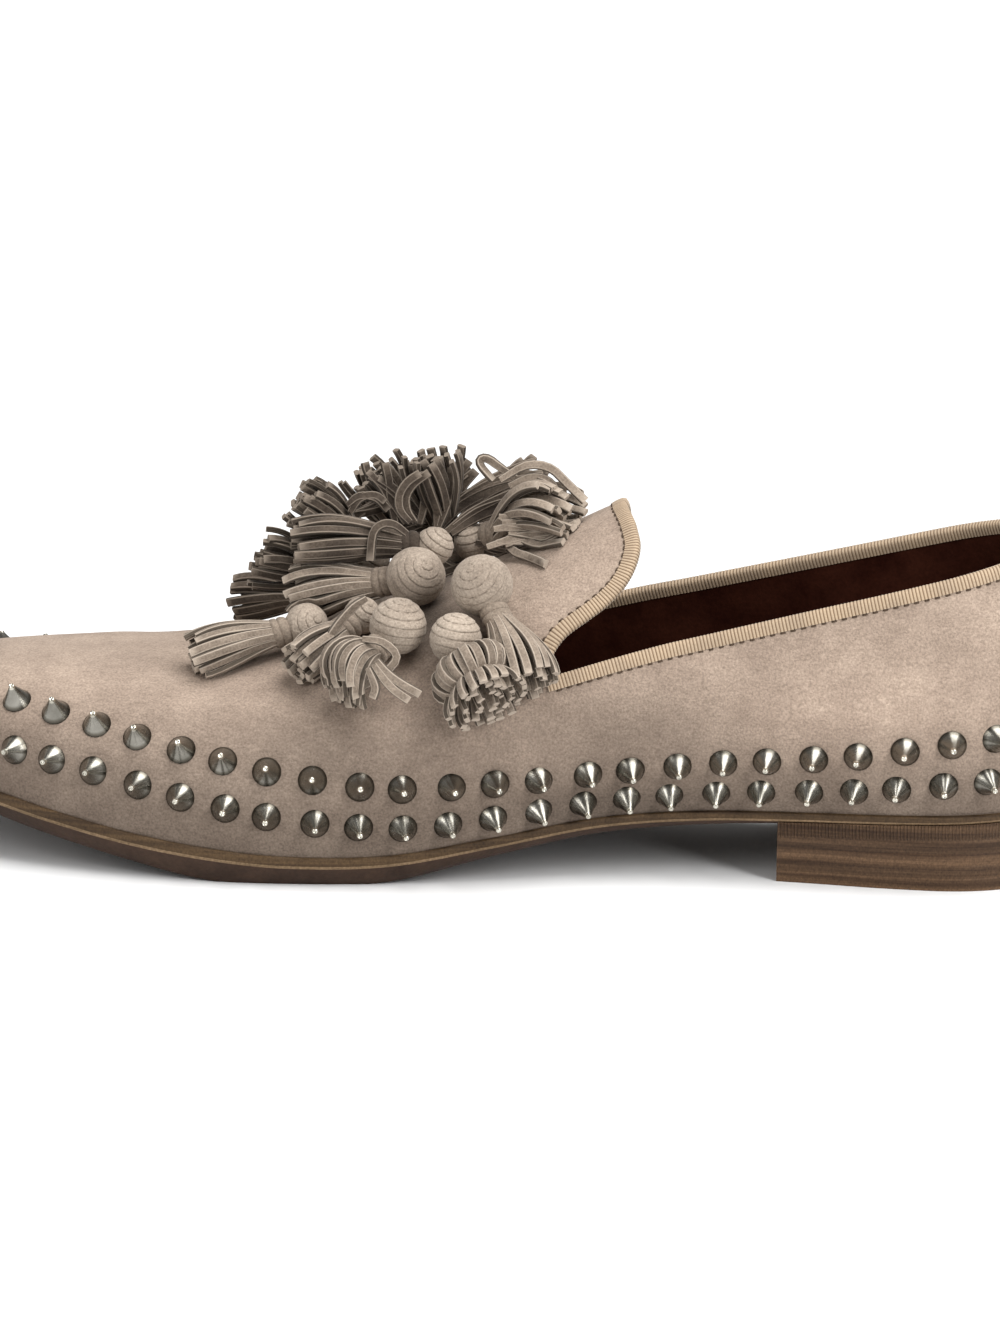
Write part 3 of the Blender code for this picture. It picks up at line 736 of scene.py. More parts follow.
def shell(name, cutter, materials):
    """Wall of the upper, creased, dimpled and cut open, its inner face in the second material."""
    count = 36
    density = (30, 96, 30)
    crease_margin = 1.0
    normal_margin = 0.8
    weld = 0.02
    sharp = 50
    frames = crease_frames()
    tree = KDTree(len(STUDS))
    for k, (point, _) in enumerate(STUDS):
        tree.insert(point, k)
    tree.balance()
    bm = bmesh.new()
    rings = []
    for x in stations(*density):
        ring = []
        for k in range(-count, count + 1):
            point = surface(x, k / count)
            height = 0.0
            if TOE_X + crease_margin < x < HEEL_X - crease_margin:
                height = crease_height(point, frames)
            distance = tree.find(point)[2] / DIMPLE_RADIUS
            height -= DIMPLE_DEPTH * math.exp(-distance ** 4)
            inside = min(max(x, TOE_X + normal_margin), HEEL_X - normal_margin)
            ring.append(bm.verts.new(point + surface_normal(inside, k / count) * height))
        rings.append(ring)
    for near, far in zip(rings, rings[1:]):
        for k in range(2 * count):
            bm.faces.new((near[k], far[k], far[k + 1], near[k + 1]))
    bmesh.ops.remove_doubles(bm, verts=bm.verts, dist=weld)
    bmesh.ops.recalc_face_normals(bm, faces=bm.faces)
    top = max(bm.faces, key=lambda face: face.calc_center_median().z)
    if top.normal.z < 0:
        bmesh.ops.reverse_faces(bm, faces=bm.faces)
    item = mesh_object(name, bm, materials, sharp=60)
    wall = item.modifiers.new("wall", "SOLIDIFY")
    wall.thickness = WALL * MM
    wall.material_offset = 1
    wall.offset = -1.0
    wall.use_even_offset = True
    cut = item.modifiers.new("opening", "BOOLEAN")
    cut.operation = "DIFFERENCE"
    cut.object = cutter
    cut.solver = "EXACT"
    apply_modifiers(item)
    item.data.shade_smooth()
    item.data.set_sharp_from_angle(angle=math.radians(sharp))
    return item


def paint_suede_light_and_shade(material):
    """Paint shade on the suede towards the sole and light on its top, and lay on the painted patches of light
    and shade.
    """
    tree, shader, colour = painted(material)
    height = axes_of(tree, coordinates(tree, stretch=(1.0, 1.0, 1.0 / (PAINTED_SHADE_TOP * MM))))["Z"]
    # Painted shade: darker towards the sole, paler on top
    painted_shading = ramp(tree, height, *((over / PAINTED_SHADE_TOP, value) for over, value in PAINTED_SHADE_BY_HEIGHT))
    colour = mix(tree, "MULTIPLY", 1.0, colour, painted_shading)
    # Painted patches of light and shade
    for values in PAINTED_LIGHT_AND_SHADE_PATCHES:
        patch = dict(zip(PATCH_COLUMNS, values))
        middle = (ORIGIN.x + patch["x"] * MM, 0.0, patch["z"] * MM)
        reach = (1.0 / (patch["long"] * MM), 0.0, 1.0 / (patch["high"] * MM))
        shift = calculate(tree, "ShaderNodeVectorMath", "SUBTRACT", coordinates(tree), middle)
        scaled = calculate(tree, "ShaderNodeVectorMath", "MULTIPLY", shift, reach)
        away = calculate(tree, "ShaderNodeVectorMath", "LENGTH", scaled)
        near = spread(tree, away, 1.0, 0.0, "SMOOTHSTEP")
        colour = mix(tree, "MULTIPLY", near, colour, (patch["painted_shading"],) * 3)
    wire(tree, shader, colour)


def keep_faces(item, index):
    """Leave only the faces of one material."""
    bm = bmesh.new()
    bm.from_mesh(item.data)
    others = [face for face in bm.faces if face.material_index != index]
    bmesh.ops.delete(bm, geom=others, context="FACES")
    bm.to_mesh(item.data)
    bm.free()


def make_upper():
    """Suede wall and the lining on its inner face."""
    cutter = opening_cutter(EDGE_TUCK)
    suede = suede_material("suede", (0.262, 0.202, 0.160), (0.335, 0.262, 0.208), 0.12)
    paint_suede_light_and_shade(suede)
    lining = smooth_leather("lining", (0.020, 0.0045, 0.0026), (0.046, 0.0130, 0.0070), 0.5, 0.06)
    outer = shell("upper_suede", cutter, (suede, lining))
    bpy.data.objects.remove(cutter, do_unlink=True)
    inner = outer.copy()
    inner.data = outer.data.copy()
    inner.name = "upper_lining"
    bpy.context.scene.collection.objects.link(inner)
    keep_faces(outer, 0)
    keep_faces(inner, 1)
    finish_piece(outer, "suede", "upper")
    finish_piece(inner, "lining_leather")


make_upper()


# Studs


# Radius and height of a stud's rings, from the foot to the dimpled tip
STUD_PROFILE = ((3.15, -0.6), (3.55, -0.1), (3.60, 0.15), (3.42, 0.42), (3.10, 0.75), (1.88, 3.05),
                (0.80, 5.10), (0.72, 5.45), (0.64, 5.74), (0.46, 5.86), (0.28, 5.76))
STUD_TOP = 5.62
STUD_SEGMENTS = 28


def add_stud(bm, layer, foot, out):
    """Turned stud on a point, with its angle and height as UV."""
    turn = out.to_track_quat("Z", "Y").to_matrix()
    rings = [turned_ring(bm, foot, turn, *sizes, STUD_SEGMENTS) for sizes in STUD_PROFILE]
    places = [k / STUD_SEGMENTS for k in range(STUD_SEGMENTS + 1)]
    shares = [height / STUD_TOP for _, height in STUD_PROFILE]
    tip = bm.verts.new(foot + out * STUD_TOP)
    for j, (lower, upper) in enumerate(zip(rings, rings[1:])):
        add_band(bm, layer, lower, upper, places, shares[j:j + 2])
    for k in range(STUD_SEGMENTS):
        face = bm.faces.new((rings[-1][k], rings[-1][(k + 1) % STUD_SEGMENTS], tip))
        lay_flat((face,), layer, (places[k], 1.0))


def make_studs():
    """Both rows of turned studs as one joined mesh."""
    bm = bmesh.new()
    layer = bm.loops.layers.uv.new("turned")
    for point, out in STUDS:
        add_stud(bm, layer, point - out * DIMPLE_DEPTH, out)
    finish_piece(mesh_object("studs", bm, (stud_material(),), sharp=40), "stud_metal")


make_studs()


# Insole, outsole and heel


# How far the sole's trimmed edge reaches under its top face
SOLE_EDGE = 1.5


def feather_z(x):
    """Height of the feather line."""
    return section(x)["feather"]


def sole_top(x):
    """Top face of the outsole."""
    return feather_z(x) - GAP


def sole_bottom(x):
    """Bottom face of the outsole, flat on the floor under the ball."""
    return max(sole_top(x) - section(x)["sole"], 0.0)


def sole_edge_foot(x):
    """Lower end of the sole's trimmed edge."""
    return sole_top(x) - SOLE_EDGE


def between(first, second, share):
    """Height function part of the way from one height function to another."""
    return lambda x: first(x) + (second(x) - first(x)) * share


def slab(name, levels, materials, bands, start_x=TOE_X):
    """Closed form through outlines stacked from top to bottom, each an offset and its height function.

    bands gives the material of the top face, of each band of the side and of the bottom face.
    """
    weld = 0.01
    bm = bmesh.new()
    layer = bm.loops.layers.uv.new("edge")
    rings = []
    for offset, height in levels:
        medial, lateral = outline(offset, start_x)
        loop = medial + list(reversed(lateral))
        rings.append([bm.verts.new((p.x, p.y, height(p.x))) for p in loop])
    count = len(rings[0])
    half = count // 2
    travelled = [0.0]
    for near, far in zip(rings[0], rings[0][1:]):
        travelled.append(travelled[-1] + (far.co - near.co).length)
    travelled.append(travelled[-1])
    for ring, material in ((rings[0], bands[0]), (rings[-1], bands[-1])):
        for k in range(half - 1):
            face = bm.faces.new((ring[k], ring[k + 1], ring[count - 2 - k], ring[count - 1 - k]))
            face.material_index = material
            for loop in face.loops:
                loop[layer].uv = (loop.vert.co.x, 0.0)
    last = len(rings) - 1
    for j, (upper, lower) in enumerate(zip(rings, rings[1:])):
        shares = (1.0 - j / last, 1.0 - (j + 1) / last)
        for face in add_band(bm, layer, upper, lower, travelled, shares):
            face.material_index = bands[j + 1]
    bmesh.ops.remove_doubles(bm, verts=bm.verts, dist=weld)
    bmesh.ops.recalc_face_normals(bm, faces=bm.faces)
    return mesh_object(name, bm, materials, sharp=40)


def make_insole():
    """Leather sock with a rolled edge."""
    sock = smooth_leather("sock", (0.030, 0.008, 0.005), (0.065, 0.020, 0.011), 0.40, 0.1, 0.7)
    roll = 0.6

    def top(x):
        return feather_z(x) + INSOLE_THICKNESS

    levels = ((-INSOLE_INSET - roll, top), (-INSOLE_INSET - roll * 0.3, between(top, feather_z, 0.12)),
              (-INSOLE_INSET, between(top, feather_z, 0.4)), (-INSOLE_INSET, feather_z))
    finish_piece(slab("insole_sock", levels, (sock,), (0, 0, 0, 0, 0)), "lining_leather", "insole")


def make_outsole():
    """Thin leather sole: inked upright edge, a rubbed line along its foot and a dark brown underside."""
    inked = edge_leather("sole_edge", (0.034, 0.019, 0.009), (0.088, 0.053, 0.025), 0.45)
    rubbed = edge_leather("sole_line", (0.13, 0.085, 0.045), (0.23, 0.155, 0.090), 0.5)
    under = smooth_leather("sole_under", (0.030, 0.016, 0.010), (0.058, 0.032, 0.020), 0.45, 0.2)
    soften = 0.35
    lip = 1.2
    lip_fall = 0.005

    def edge_top(x):
        return sole_top(x) + lip - lip_fall * x

    levels = (
        (SOLE_LEDGE - soften, edge_top),
        (SOLE_LEDGE, between(edge_top, sole_edge_foot, 0.12)),
        (SOLE_LEDGE, between(edge_top, sole_edge_foot, 0.74)),
        (SOLE_LEDGE - soften, sole_edge_foot),
        (SOLE_LEDGE - SOLE_BEVEL * 0.5, between(sole_edge_foot, sole_bottom, 0.62)),
        (SOLE_LEDGE - SOLE_BEVEL, sole_bottom),
    )
    item = slab("outsole_leather", levels, (inked, rubbed, under), (0, 0, 0, 1, 2, 2, 2))
    finish_piece(item, "sole_leather", "outsole")


def make_heel():
    """Stack of leather lifts, each with softened edges, the first one wheeled under the sole."""
    layers = HEEL_LIFTS + 1
    tints = (0.90, 0.80, 1.0, 0.82, 0.94)
    teeth = 0.85
    soften = 0.06
    for layer in range(layers):
        last = layer == HEEL_LIFTS
        node = "heel_top_piece" if last else f"heel_lift_{layer + 1}"
        high = 1.0 - layer / layers
        low = 1.0 - (layer + 1) / layers

        def top(x, share=high):
            if share < 1.0:
                return (sole_bottom(x) - HEEL_LAYER_GAP) * share
            return sole_edge_foot(x) - HEEL_LAYER_GAP

        def bottom(x, share=low):
            return (sole_bottom(x) - HEEL_LAYER_GAP) * share

        wide = SOLE_LEDGE - HEEL_TAPER * layer / layers
        narrow = SOLE_LEDGE - HEEL_TAPER * (layer + 1) / layers
        dark = tuple(value * tints[layer] for value in (0.043, 0.0220, 0.0110))
        light = tuple(value * tints[layer] for value in (0.128, 0.074, 0.040))
        leather = edge_leather(f"stack_{layer + 1}", dark, light, 0.36, 0.0 if layer else teeth)
        levels = ((wide - soften, top), (wide, between(top, bottom, 0.08)),
                  (wide + (narrow - wide) * 0.5, between(top, bottom, 0.5)),
                  (narrow, between(top, bottom, 0.92)), (narrow - soften, bottom))
        item = slab(node + "_leather", levels, (leather,), (0,) * 6, HEEL_BREAST_X)
        finish_piece(item, "heel_leather", node)


make_insole()
make_outsole()
make_heel()


# Ribbon over the topline


RIB_PITCH = 0.86
RIB_HEIGHT = 0.15
RIB_ROUNDNESS = 0.7
RIB_FOOT = 0.6
RIB_SAMPLES = 7
STITCH_PITCH = 2.6
STITCH_LENGTH = 1.5
STITCH_RADIUS = 0.26
# Rounds in which a point of the skewed opening settles on the section
SETTLE_ROUNDS = 12
# Section of the folded ribbon: up from the collar line, out from the outer face, and the share of its ribs
FOLD = ((-3.55, -0.05, 0.0), (-3.50, 0.34, 0.7), (-2.70, 0.46, 1.0), (-1.70, 0.50, 1.0), (-0.75, 0.44, 1.0),
        (-0.16, 0.10, 1.0), (0.0, -0.60, 1.0), (0.0, -1.40, 1.0), (-0.16, -2.10, 1.0), (-0.75, -2.44, 1.0),
        (-1.80, -2.50, 1.0), (-3.00, -2.46, 0.7), (-3.05, -2.05, 0.0))


def collar_v(x, side):
    """Place on the section where the collar line crosses it."""
    def over(share):
        point = surface(x, side * share)
        height = lookup(COLLAR, COLLAR_COLUMNS, point.x + OPENING_SKEW * point.y)["height"]
        return point.z - OPENING_TILT * point.y - height
    return side * bisect(over, 0.0, 1.0)


def throat_x(side):
    """Where the collar begins on one side."""
    x = COLLAR[0][0]
    for _ in range(SETTLE_ROUNDS):
        x = COLLAR[0][0] - OPENING_SKEW * surface(x, collar_v(x, side)).y
    return x


def collar_path():
    """Collar line from the medial throat round the heel to the lateral one, with the wall's outward side."""
    samples = 200
    probe = 0.02
    run = []
    for side in (-1.0, 1.0):
        start = throat_x(side)
        shares = [math.sin(math.pi / 2.0 * k / samples) for k in range(samples + 1)]
        places = [start + (HEEL_X - start) * share for share in shares]
        half = [(x, collar_v(x, side)) for x in places]
        run += half if side < 0 else list(reversed(half[:-1]))
    points = [surface(*place) for place in run]
    sides = []
    for k, (x, v) in enumerate(run):
        along = points[min(k + 1, len(run) - 1)] - points[max(k - 1, 0)]
        step = probe if v > 0 else -probe
        rise = surface(x, v - step) - surface(x, v + step)
        sides.append(along.cross(rise).normalized())
    return points, sides


def tongue_path():
    """Tongue edge from the lateral throat over the ridge to the medial throat, with its outward side."""
    samples = 120

    def place(step):
        return lookup(TONGUE, TONGUE_COLUMNS, step)

    top = bisect(lambda step: section(place(step)["x"])["ridge"] - place(step)["height"], 0.0, TONGUE[-1][0])
    run = []
    for k in range(-samples, samples + 1):
        side = -1.0 if k > 0 else 1.0
        row = place(top * math.cos(math.pi / 2.0 * k / samples))
        x = row["x"]
        for _ in range(SETTLE_ROUNDS):
            def over(share, x=x, row=row, side=side):
                point = surface(x, side * share)
                return point.z - OPENING_TILT * point.y - row["height"]

            v = side * bisect(over, 0.0, 1.0)
            x = row["x"] - OPENING_SKEW * surface(x, v).y
        run.append((x, v))
    return [surface(*where) for where in run], [surface_normal(*where) for where in run]


def even_path(points, sides, spacing):
    """The same path with even steps, each a point, its direction, its outward side and its distance."""
    smooth = 6
    lengths = [0.0]
    for near, far in zip(points, points[1:]):
        lengths.append(lengths[-1] + (far - near).length)
    count = int(lengths[-1] / spacing)
    path = []
    j = 0
    for k in range(count + 1):
        distance = lengths[-1] * k / count
        while j < len(points) - 2 and lengths[j + 1] < distance:
            j += 1
        share = (distance - lengths[j]) / max(lengths[j + 1] - lengths[j], 1e-6)
        out = sides[j].lerp(sides[j + 1], share).normalized()
        path.append((points[j].lerp(points[j + 1], share), out, distance))
    steps = []
    for k, (point, out, distance) in enumerate(path):
        along = (path[min(k + smooth, count)][0] - path[max(k - smooth, 0)][0]).normalized()
        out = (out - along * out.dot(along)).normalized()
        steps.append((point, along, out, distance))
    return steps


def add_ribbon(bm, layer, steps):
    """Folded ribbon along a path, its ribs square to the edge."""
    rings = []
    for point, along, out, distance in steps:
        up = out.cross(along)
        rib = abs(math.cos(math.pi * distance / RIB_PITCH)) ** RIB_ROUNDNESS - RIB_FOOT
        ring = []
        for k, (high, wide, share) in enumerate(FOLD):
            before = FOLD[max(k - 1, 0)]
            after = FOLD[min(k + 1, len(FOLD) - 1)]
            skin = Vector((before[1] - after[1], after[0] - before[0])).normalized()
            lift = rib * RIB_HEIGHT * share
            ring.append(bm.verts.new(point + up * (high + skin.x * lift) + out * (wide + skin.y * lift)))
        rings.append(ring)
    for (near, far), (start, end) in zip(zip(rings, rings[1:]), zip(steps, steps[1:])):
        for k in range(len(FOLD) - 1):
            face = bm.faces.new((near[k], near[k + 1], far[k + 1], far[k]))
            corners = ((start[3], k), (start[3], k + 1), (end[3], k + 1), (end[3], k))
            for loop, (distance, j) in zip(face.loops, corners):
                loop[layer].uv = (distance / RIB_PITCH, j / len(FOLD))
    for ring in (rings[0], rings[-1]):
        bm.faces.new(ring)


def ribbon_material():
    """Grosgrain: tan thread, with painted highlights on the ribs and painted shade in the grooves, fine warp
    threads and a little dust.
    """
    material, tree, shader = new_material("ribbon", specular_ior_level=0.25, sheen_weight=0.2,
                                          sheen_roughness=0.4)
    place = coordinates(tree)
    along = axes_of(tree, coordinates(tree, "UV"))["X"]
    turn = calculate(tree, "ShaderNodeMath", "MULTIPLY", along, math.pi)
    wave = calculate(tree, "ShaderNodeMath", "COSINE", turn)
    rib = calculate(tree, "ShaderNodeMath", "ABSOLUTE", wave)
    # Painted light and shade: paler on the ribs' crests, dark brown in the grooves
    rib_highlight_and_groove_shade = ramp(tree, rib, (0.05, (0.105, 0.064, 0.034)), (0.45, (0.290, 0.205, 0.130)),
                (0.95, (0.430, 0.330, 0.230)))
    threads = noise(tree, coordinates(tree, "UV", (0.6, 60.0, 1.0)), 1000.0, 2.0)
    lines = ramp(tree, threads, (0.3, (0.84, 0.83, 0.82)), (0.7, 1.08))
    dust = ramp(tree, noise(tree, place, 7.0, 4.0), (0.35, (0.82, 0.82, 0.84)), (0.7, (1.06, 1.05, 1.03)))
    colour = mix(tree, "MULTIPLY", 0.8, mix(tree, "MULTIPLY", 0.6, rib_highlight_and_groove_shade, lines), dust)
    wire(tree, shader, colour, spread(tree, noise(tree, place, 1.0), 0.55, 0.8), bump(tree, threads, 0.03))
    return material


def add_stitch(bm, point, along, out):
    """Short thread lying along a path, dipping in at both ends."""
    sides = 6
    stops = ((-0.5, -0.34, 0.55), (-0.32, 0.0, 1.0), (0.0, 0.08, 1.0), (0.32, 0.0, 1.0),
             (0.5, -0.34, 0.55))
    up = out.cross(along)
    rings = []
    for run, rise, width in stops:
        middle = point + along * (run * STITCH_LENGTH) + out * rise
        ring = []
        for k in range(sides):
            angle = 2.0 * math.pi * k / sides
            around = up * math.cos(angle) + out * math.sin(angle)
            ring.append(bm.verts.new(middle + around * STITCH_RADIUS * width))
        rings.append(ring)
    for near, far in zip(rings, rings[1:]):
        bridge(bm, near, far)
    bm.faces.new(list(reversed(rings[0])))
    bm.faces.new(rings[-1])


def thread_material():
    """Dark waxed thread with its twist."""
    material, tree, shader = new_material("thread", specular_ior_level=0.3)
    twist = noise(tree, coordinates(tree, stretch=(1.0, 1.0, 2.0)), 0.3)
    colour = ramp(tree, twist, (0.3, (0.030, 0.018, 0.010)), (0.7, (0.090, 0.055, 0.032)))
    wire(tree, shader, colour, spread(tree, twist, 0.5, 0.75), bump(tree, twist, 0.05))
    return material


def make_binding():
    """Ribbon folded over the collar and the tongue, and the stitches along its lower edge."""
    spacing = RIB_PITCH / RIB_SAMPLES
    below = 0.28
    bm = bmesh.new()
    layer = bm.loops.layers.uv.new("ribbon")
    thread = bmesh.new()
    for points, sides in (tongue_path(), collar_path()):
        steps = even_path(points, sides, spacing)
        add_ribbon(bm, layer, steps)
        every = round(STITCH_PITCH / spacing)
        for point, along, out, _ in steps[every::every]:
            up = out.cross(along)
            add_stitch(thread, point - up * (BINDING_WIDTH + below), along, out)
    bmesh.ops.recalc_face_normals(bm, faces=bm.faces)
    bmesh.ops.recalc_face_normals(thread, faces=thread.faces)
    ribbon = mesh_object("topline_ribbon", bm, (ribbon_material(),), sharp=60)
    finish_piece(ribbon, "ribbon", "topline_binding")
    stitches = mesh_object("topline_stitches", thread, (thread_material(),), sharp=60)
    finish_piece(stitches, "ribbon")


make_binding()


# Tassels


# x, y, lift, ball, heading and pitch are the solids'. length: how far the fringe goes on from FRINGE_REACH.
# spread: the full fringe's radius at its end. arch: degrees by which it bends down. curl: how wild its strips
# are. loops: strips folded back round the neck. pole_right, pole_up: where the ball's winding begins, as the
# photograph sees it. fill: how full the fringe is.
TASSEL_COLUMNS = ("x", "y", "lift", "ball", "heading", "pitch", "length", "spread", "arch", "curl", "loops",
                  "pole_right", "pole_up", "fill")
TASSELS = (
    (-37.5, -17.4, 0.0, 5.4, 194.4, -15.1, 16.9, 5.2, 16, 0.5, 0, 0.5, 0.3, 1.2),
    (-9.7, -13.3, 0.1, 7.3, 167.3, -13.2, 17.7, 7.2, 20, 0.4, 0, 0.36, 0.42, 1.3),
    (-4.9, -4.4, 4.9, 4.8, 186.2, 1.0, 23.0, 7.0, 16, 0.7, 0, 0.5, 0.8, 1.2),
    (-28.2, 3.9, 0.1, 4.5, 190.5, 20.7, 13.6, 6.4, 26, 0.9, 0, 0.4, 0.6, 1.0),
    (-21.8, 7.9, 5.2, 4.5, 201.2, 42.8, 13.6, 6.4, 26, 0.9, 0, 0.4, 0.6, 1.0),
    (-13.9, 28.5, 3.9, 4.5, 204.9, 61.8, 16.5, 6.8, 20, 1.0, 0, 0.4, 0.6, 1.0),
    (-4.5, 10.9, 0.0, 4.5, 209.9, 75.9, 14.8, 7.4, 10, 1.2, 0, 0.4, 0.6, 1.0),
    (2.2, 5.3, 0.5, 4.8, -25.1, 24.5, 17.9, 7.6, 84, 1.2, 0, -0.35, 0.85, 1.0),
    (7.1, -24.2, 0.1, 7.6, -52.0, -44.0, 16.0, 7.8, 30, 0.5, 0, -0.45, 0.5, 1.4),
    (0.5, -33.6, 0.1, 6.4, -55.0, -38.0, 7.4, 9.6, 14, 0.4, 24, 0.1, 0.96, 1.7),
    (-13.4, -28.9, 0.1, 7.0, 225.0, -35.8, 8.8, 6.0, 140, 0.6, 0, 0.12, 0.93, 1.3),
    (-23.6, -18.7, 0.0, 4.6, 227.7, -25.3, 12.4, 5.0, 10, 0.5, 0, 0.4, 0.6, 1.0),
    (-36.3, 17.8, 0.0, 4.5, 157.4, -8.5, 13.3, 5.6, 14, 0.8, 0, 0.4, 0.6, 1.0),
    (3.8, 13.9, 0.1, 4.5, 68.6, 22.5, 16.6, 6.4, 20, 1.1, 0, 0.4, 0.6, 1.0),
    (-15.8, 34.7, 0.1, 4.5, 132.0, -25.1, 10.2, 5.6, 30, 0.8, 0, 0.4, 0.6, 1.0),
    (10.0, 36.0, 0.1, 4.5, 40.0, -16.0, 9.0, 5.6, 40, 0.8, 0, 0.4, 0.6, 1.0),
)
# Tassels whose strips take the lit strip colour; the others take a darker copy of it, painted shade
LIT_STRIP_TASSELS = (1, 2, 8, 9, 10, 11, 12)
BAND_WIDTH = 2.2
BAND_RISE = 0.32
BAND_FLATNESS = 10
BAND_OVERLAP = 0.22
BALL_STEPS = 110
BALL_SEGMENTS = 64
STRIP_WIDTH = 2.2
STRIP_THICKNESS = 1.25
STRIP_CORNER = 0.28
STRIP_STEPS = 12
STRIP_CLEARANCE = 1.0
# How wide a strip is at its root, as a share, and how fast it widens along its length
STRIP_ROOT = 0.72
STRIP_WIDENING = 0.9
# Place on the strips' UV with neither edge nor end, for the ball and the neck
PLAIN_UV = (0.5, 0.3)
# Neck and fringe, measured from the ball's face along the fringe
FRINGE_ROOT = 2.4
FRINGE_REACH = 7.0
NECK_SEGMENTS = 24
NECK_SLANT = 0.25
# Radius of the neck's rings and their places along it
NECK = ((2.9, -1.4), (3.55, -0.5), (3.75, 0.4), (3.70, 1.0), (3.40, 1.3), (3.70, 1.6), (3.80, 2.4),
        (3.65, 3.2), (3.10, 3.6), (2.00, 3.3))
# Rings of strips from the outside in: how many, share of the fringe's radius, share of the neck's radius
RING_COLUMNS = ("count", "fan", "root")
RINGS = ((12, 1.0, 1.0), (8, 0.66, 0.6), (4, 0.30, 0.25))
ROOT_RADIUS = 2.7
# Strip folded back on itself beside the neck: along the fringe from the ball's face, and out from its middle
LOOP_WIDTH = 2.5
LOOP_THICKNESS = 1.6
LOOP_COLUMNS = ("step", "along", "out")
LOOP = ((0, 2.2, 2.6), (1, 1.2, 4.6), (2, 1.4, 7.0), (3, 2.9, 9.0), (4, 5.2, 9.7), (5, 7.6, 8.8),
        (6, 8.8, 6.8), (7, 8.6, 4.4))
# Strips that lie apart from their fringe: the tassel, how many lie together, how far they part, their depth
# along the view (one value, a start and an end, or none where the vamp carries them) and their course, across
# and up from the shoe's middle as the photograph sees it
STRAY_COLUMNS = ("tassel", "count", "part", "depth", "course")
STRAYS = (
    (3, 1, 0.0, -29, ((-14.2, 76.8), (-17.2, 79.0), (-20.2, 79.2), (-22.5, 76.8), (-23.2, 70.2))),
    (5, 2, 0.8, -16, ((-28.2, 82.8), (-25.8, 85.8), (-22.2, 86.0), (-19.8, 83.8))),
    (6, 1, 0.0, -6, ((-16.8, 88.2), (-21.2, 90.2), (-24.0, 92.2), (-25.0, 95.0))),
    (6, 4, 1.8, -8, ((-12.5, 80.2), (-16.8, 85.2), (-20.2, 88.8), (-24.2, 91.8))),
    (7, 1, 0.0, -21, ((-13.5, 79.8), (-16.0, 82.8), (-16.2, 86.5), (-14.2, 89.8), (-11.0, 92.0))),
    (7, 1, 0.0, -20, ((-12.2, 79.8), (-14.2, 82.8), (-14.5, 86.2), (-12.5, 89.5), (-8.8, 92.2))),
    (7, 4, 1.6, -12, ((-8.2, 79.0), (-7.2, 84.5), (-7.0, 89.5), (-7.8, 95.8))),
    (7, 4, 1.8, -9, ((-6.2, 79.0), (-4.2, 84.5), (-2.5, 88.8), (0.2, 93.2))),
    (8, 1, 0.0, -25, ((8.8, 90.2), (15.2, 93.8), (21.0, 93.2), (25.2, 89.5), (29.8, 85.0))),
    (8, 1, 0.0, -20, ((12.8, 90.8), (8.8, 93.5), (5.8, 95.6), (3.9, 95.5), (4.0, 93.8), (7.0, 90.2))),
    (8, 2, 0.7, -24, ((11.2, 88.8), (15.8, 90.8), (19.8, 90.5), (22.2, 88.0), (21.2, 84.8))),
    (8, 1, 0.0, (-20, -30), ((10.0, 78.8), (12.8, 76.5), (17.2, 74.2), (25.5, 72.8))),
    (8, 1, 0.0, (-22, -35), ((10.0, 74.8), (12.8, 72.2), (16.2, 71.0), (20.5, 68.5))),
    (8, 8, 2.2, -25, ((8.0, 76.4), (12.5, 77.0), (18.0, 77.0), (25.5, 76.6))),
    (8, 2, 0.8, -24, ((8.8, 80.2), (13.8, 79.6), (20.0, 78.5), (26.8, 77.6))),
    (11, 1, 0.0, -55, ((-24.8, 50.8), (-19.8, 50.0), (-16.5, 46.5), (-19.5, 42.5), (-25.8, 38.8))),
    (11, 1, 0.0, None, ((-21.2, 45.8), (-18.8, 42.8), (-15.5, 40.2), (-10.8, 37.5))),
    (11, 1, 0.0, None, ((-22.0, 44.8), (-19.5, 41.2), (-17.0, 38.5), (-13.5, 36.0))),
    (11, 1, 0.0, None, ((-23.2, 43.8), (-22.0, 40.8), (-21.5, 38.8), (-22.2, 36.5))),
    (12, 1, 0.0, -42, ((-24.0, 61.0), (-27.2, 58.8), (-30.8, 54.8), (-33.5, 50.8))),
    # The next five rows fill gaps in deep shade between and behind the balls with strips in the shaded strip
    # colour: painted shade
    (7, 6, 1.4, -6, ((-18.0, 76.6), (-14.0, 78.6), (-9.0, 79.2), (-4.0, 80.4))),
    (7, 7, 1.5, -9, ((-11.0, 71.5), (-7.0, 69.0), (-2.0, 67.0), (4.0, 67.5))),
    (6, 5, 1.4, -4, ((-32.0, 79.5), (-28.5, 81.8), (-25.0, 83.4), (-20.5, 85.6))),
    (14, 4, 1.6, -16, ((4.0, 76.5), (8.0, 74.8), (11.0, 73.6), (14.0, 73.0))),
    (14, 5, 0.8, -14, ((4.6, 73.8), (7.5, 73.2), (10.2, 73.0), (13.4, 73.4))),
    (14, 6, 2.0, -10, ((-4.8, 78.0), (-0.2, 83.8), (5.8, 88.2), (12.5, 91.2), (18.8, 93.2))),
    (14, 3, 1.5, -14, ((-2.5, 78.8), (3.2, 82.8), (9.2, 85.2), (14.2, 86.5))),
)
# Depths along the view at which the vamp is looked for, for the laid strips
LAID_DEPTHS = [0.5 * k for k in range(-160, 0)]


def ball_centre(row):
    """Middle of a ball held over its bearing point."""
    v = v_at_width(row["x"], row["y"])
    return surface(row["x"], v) + surface_normal(row["x"], v) * (row["ball"] + GAP + row["lift"])


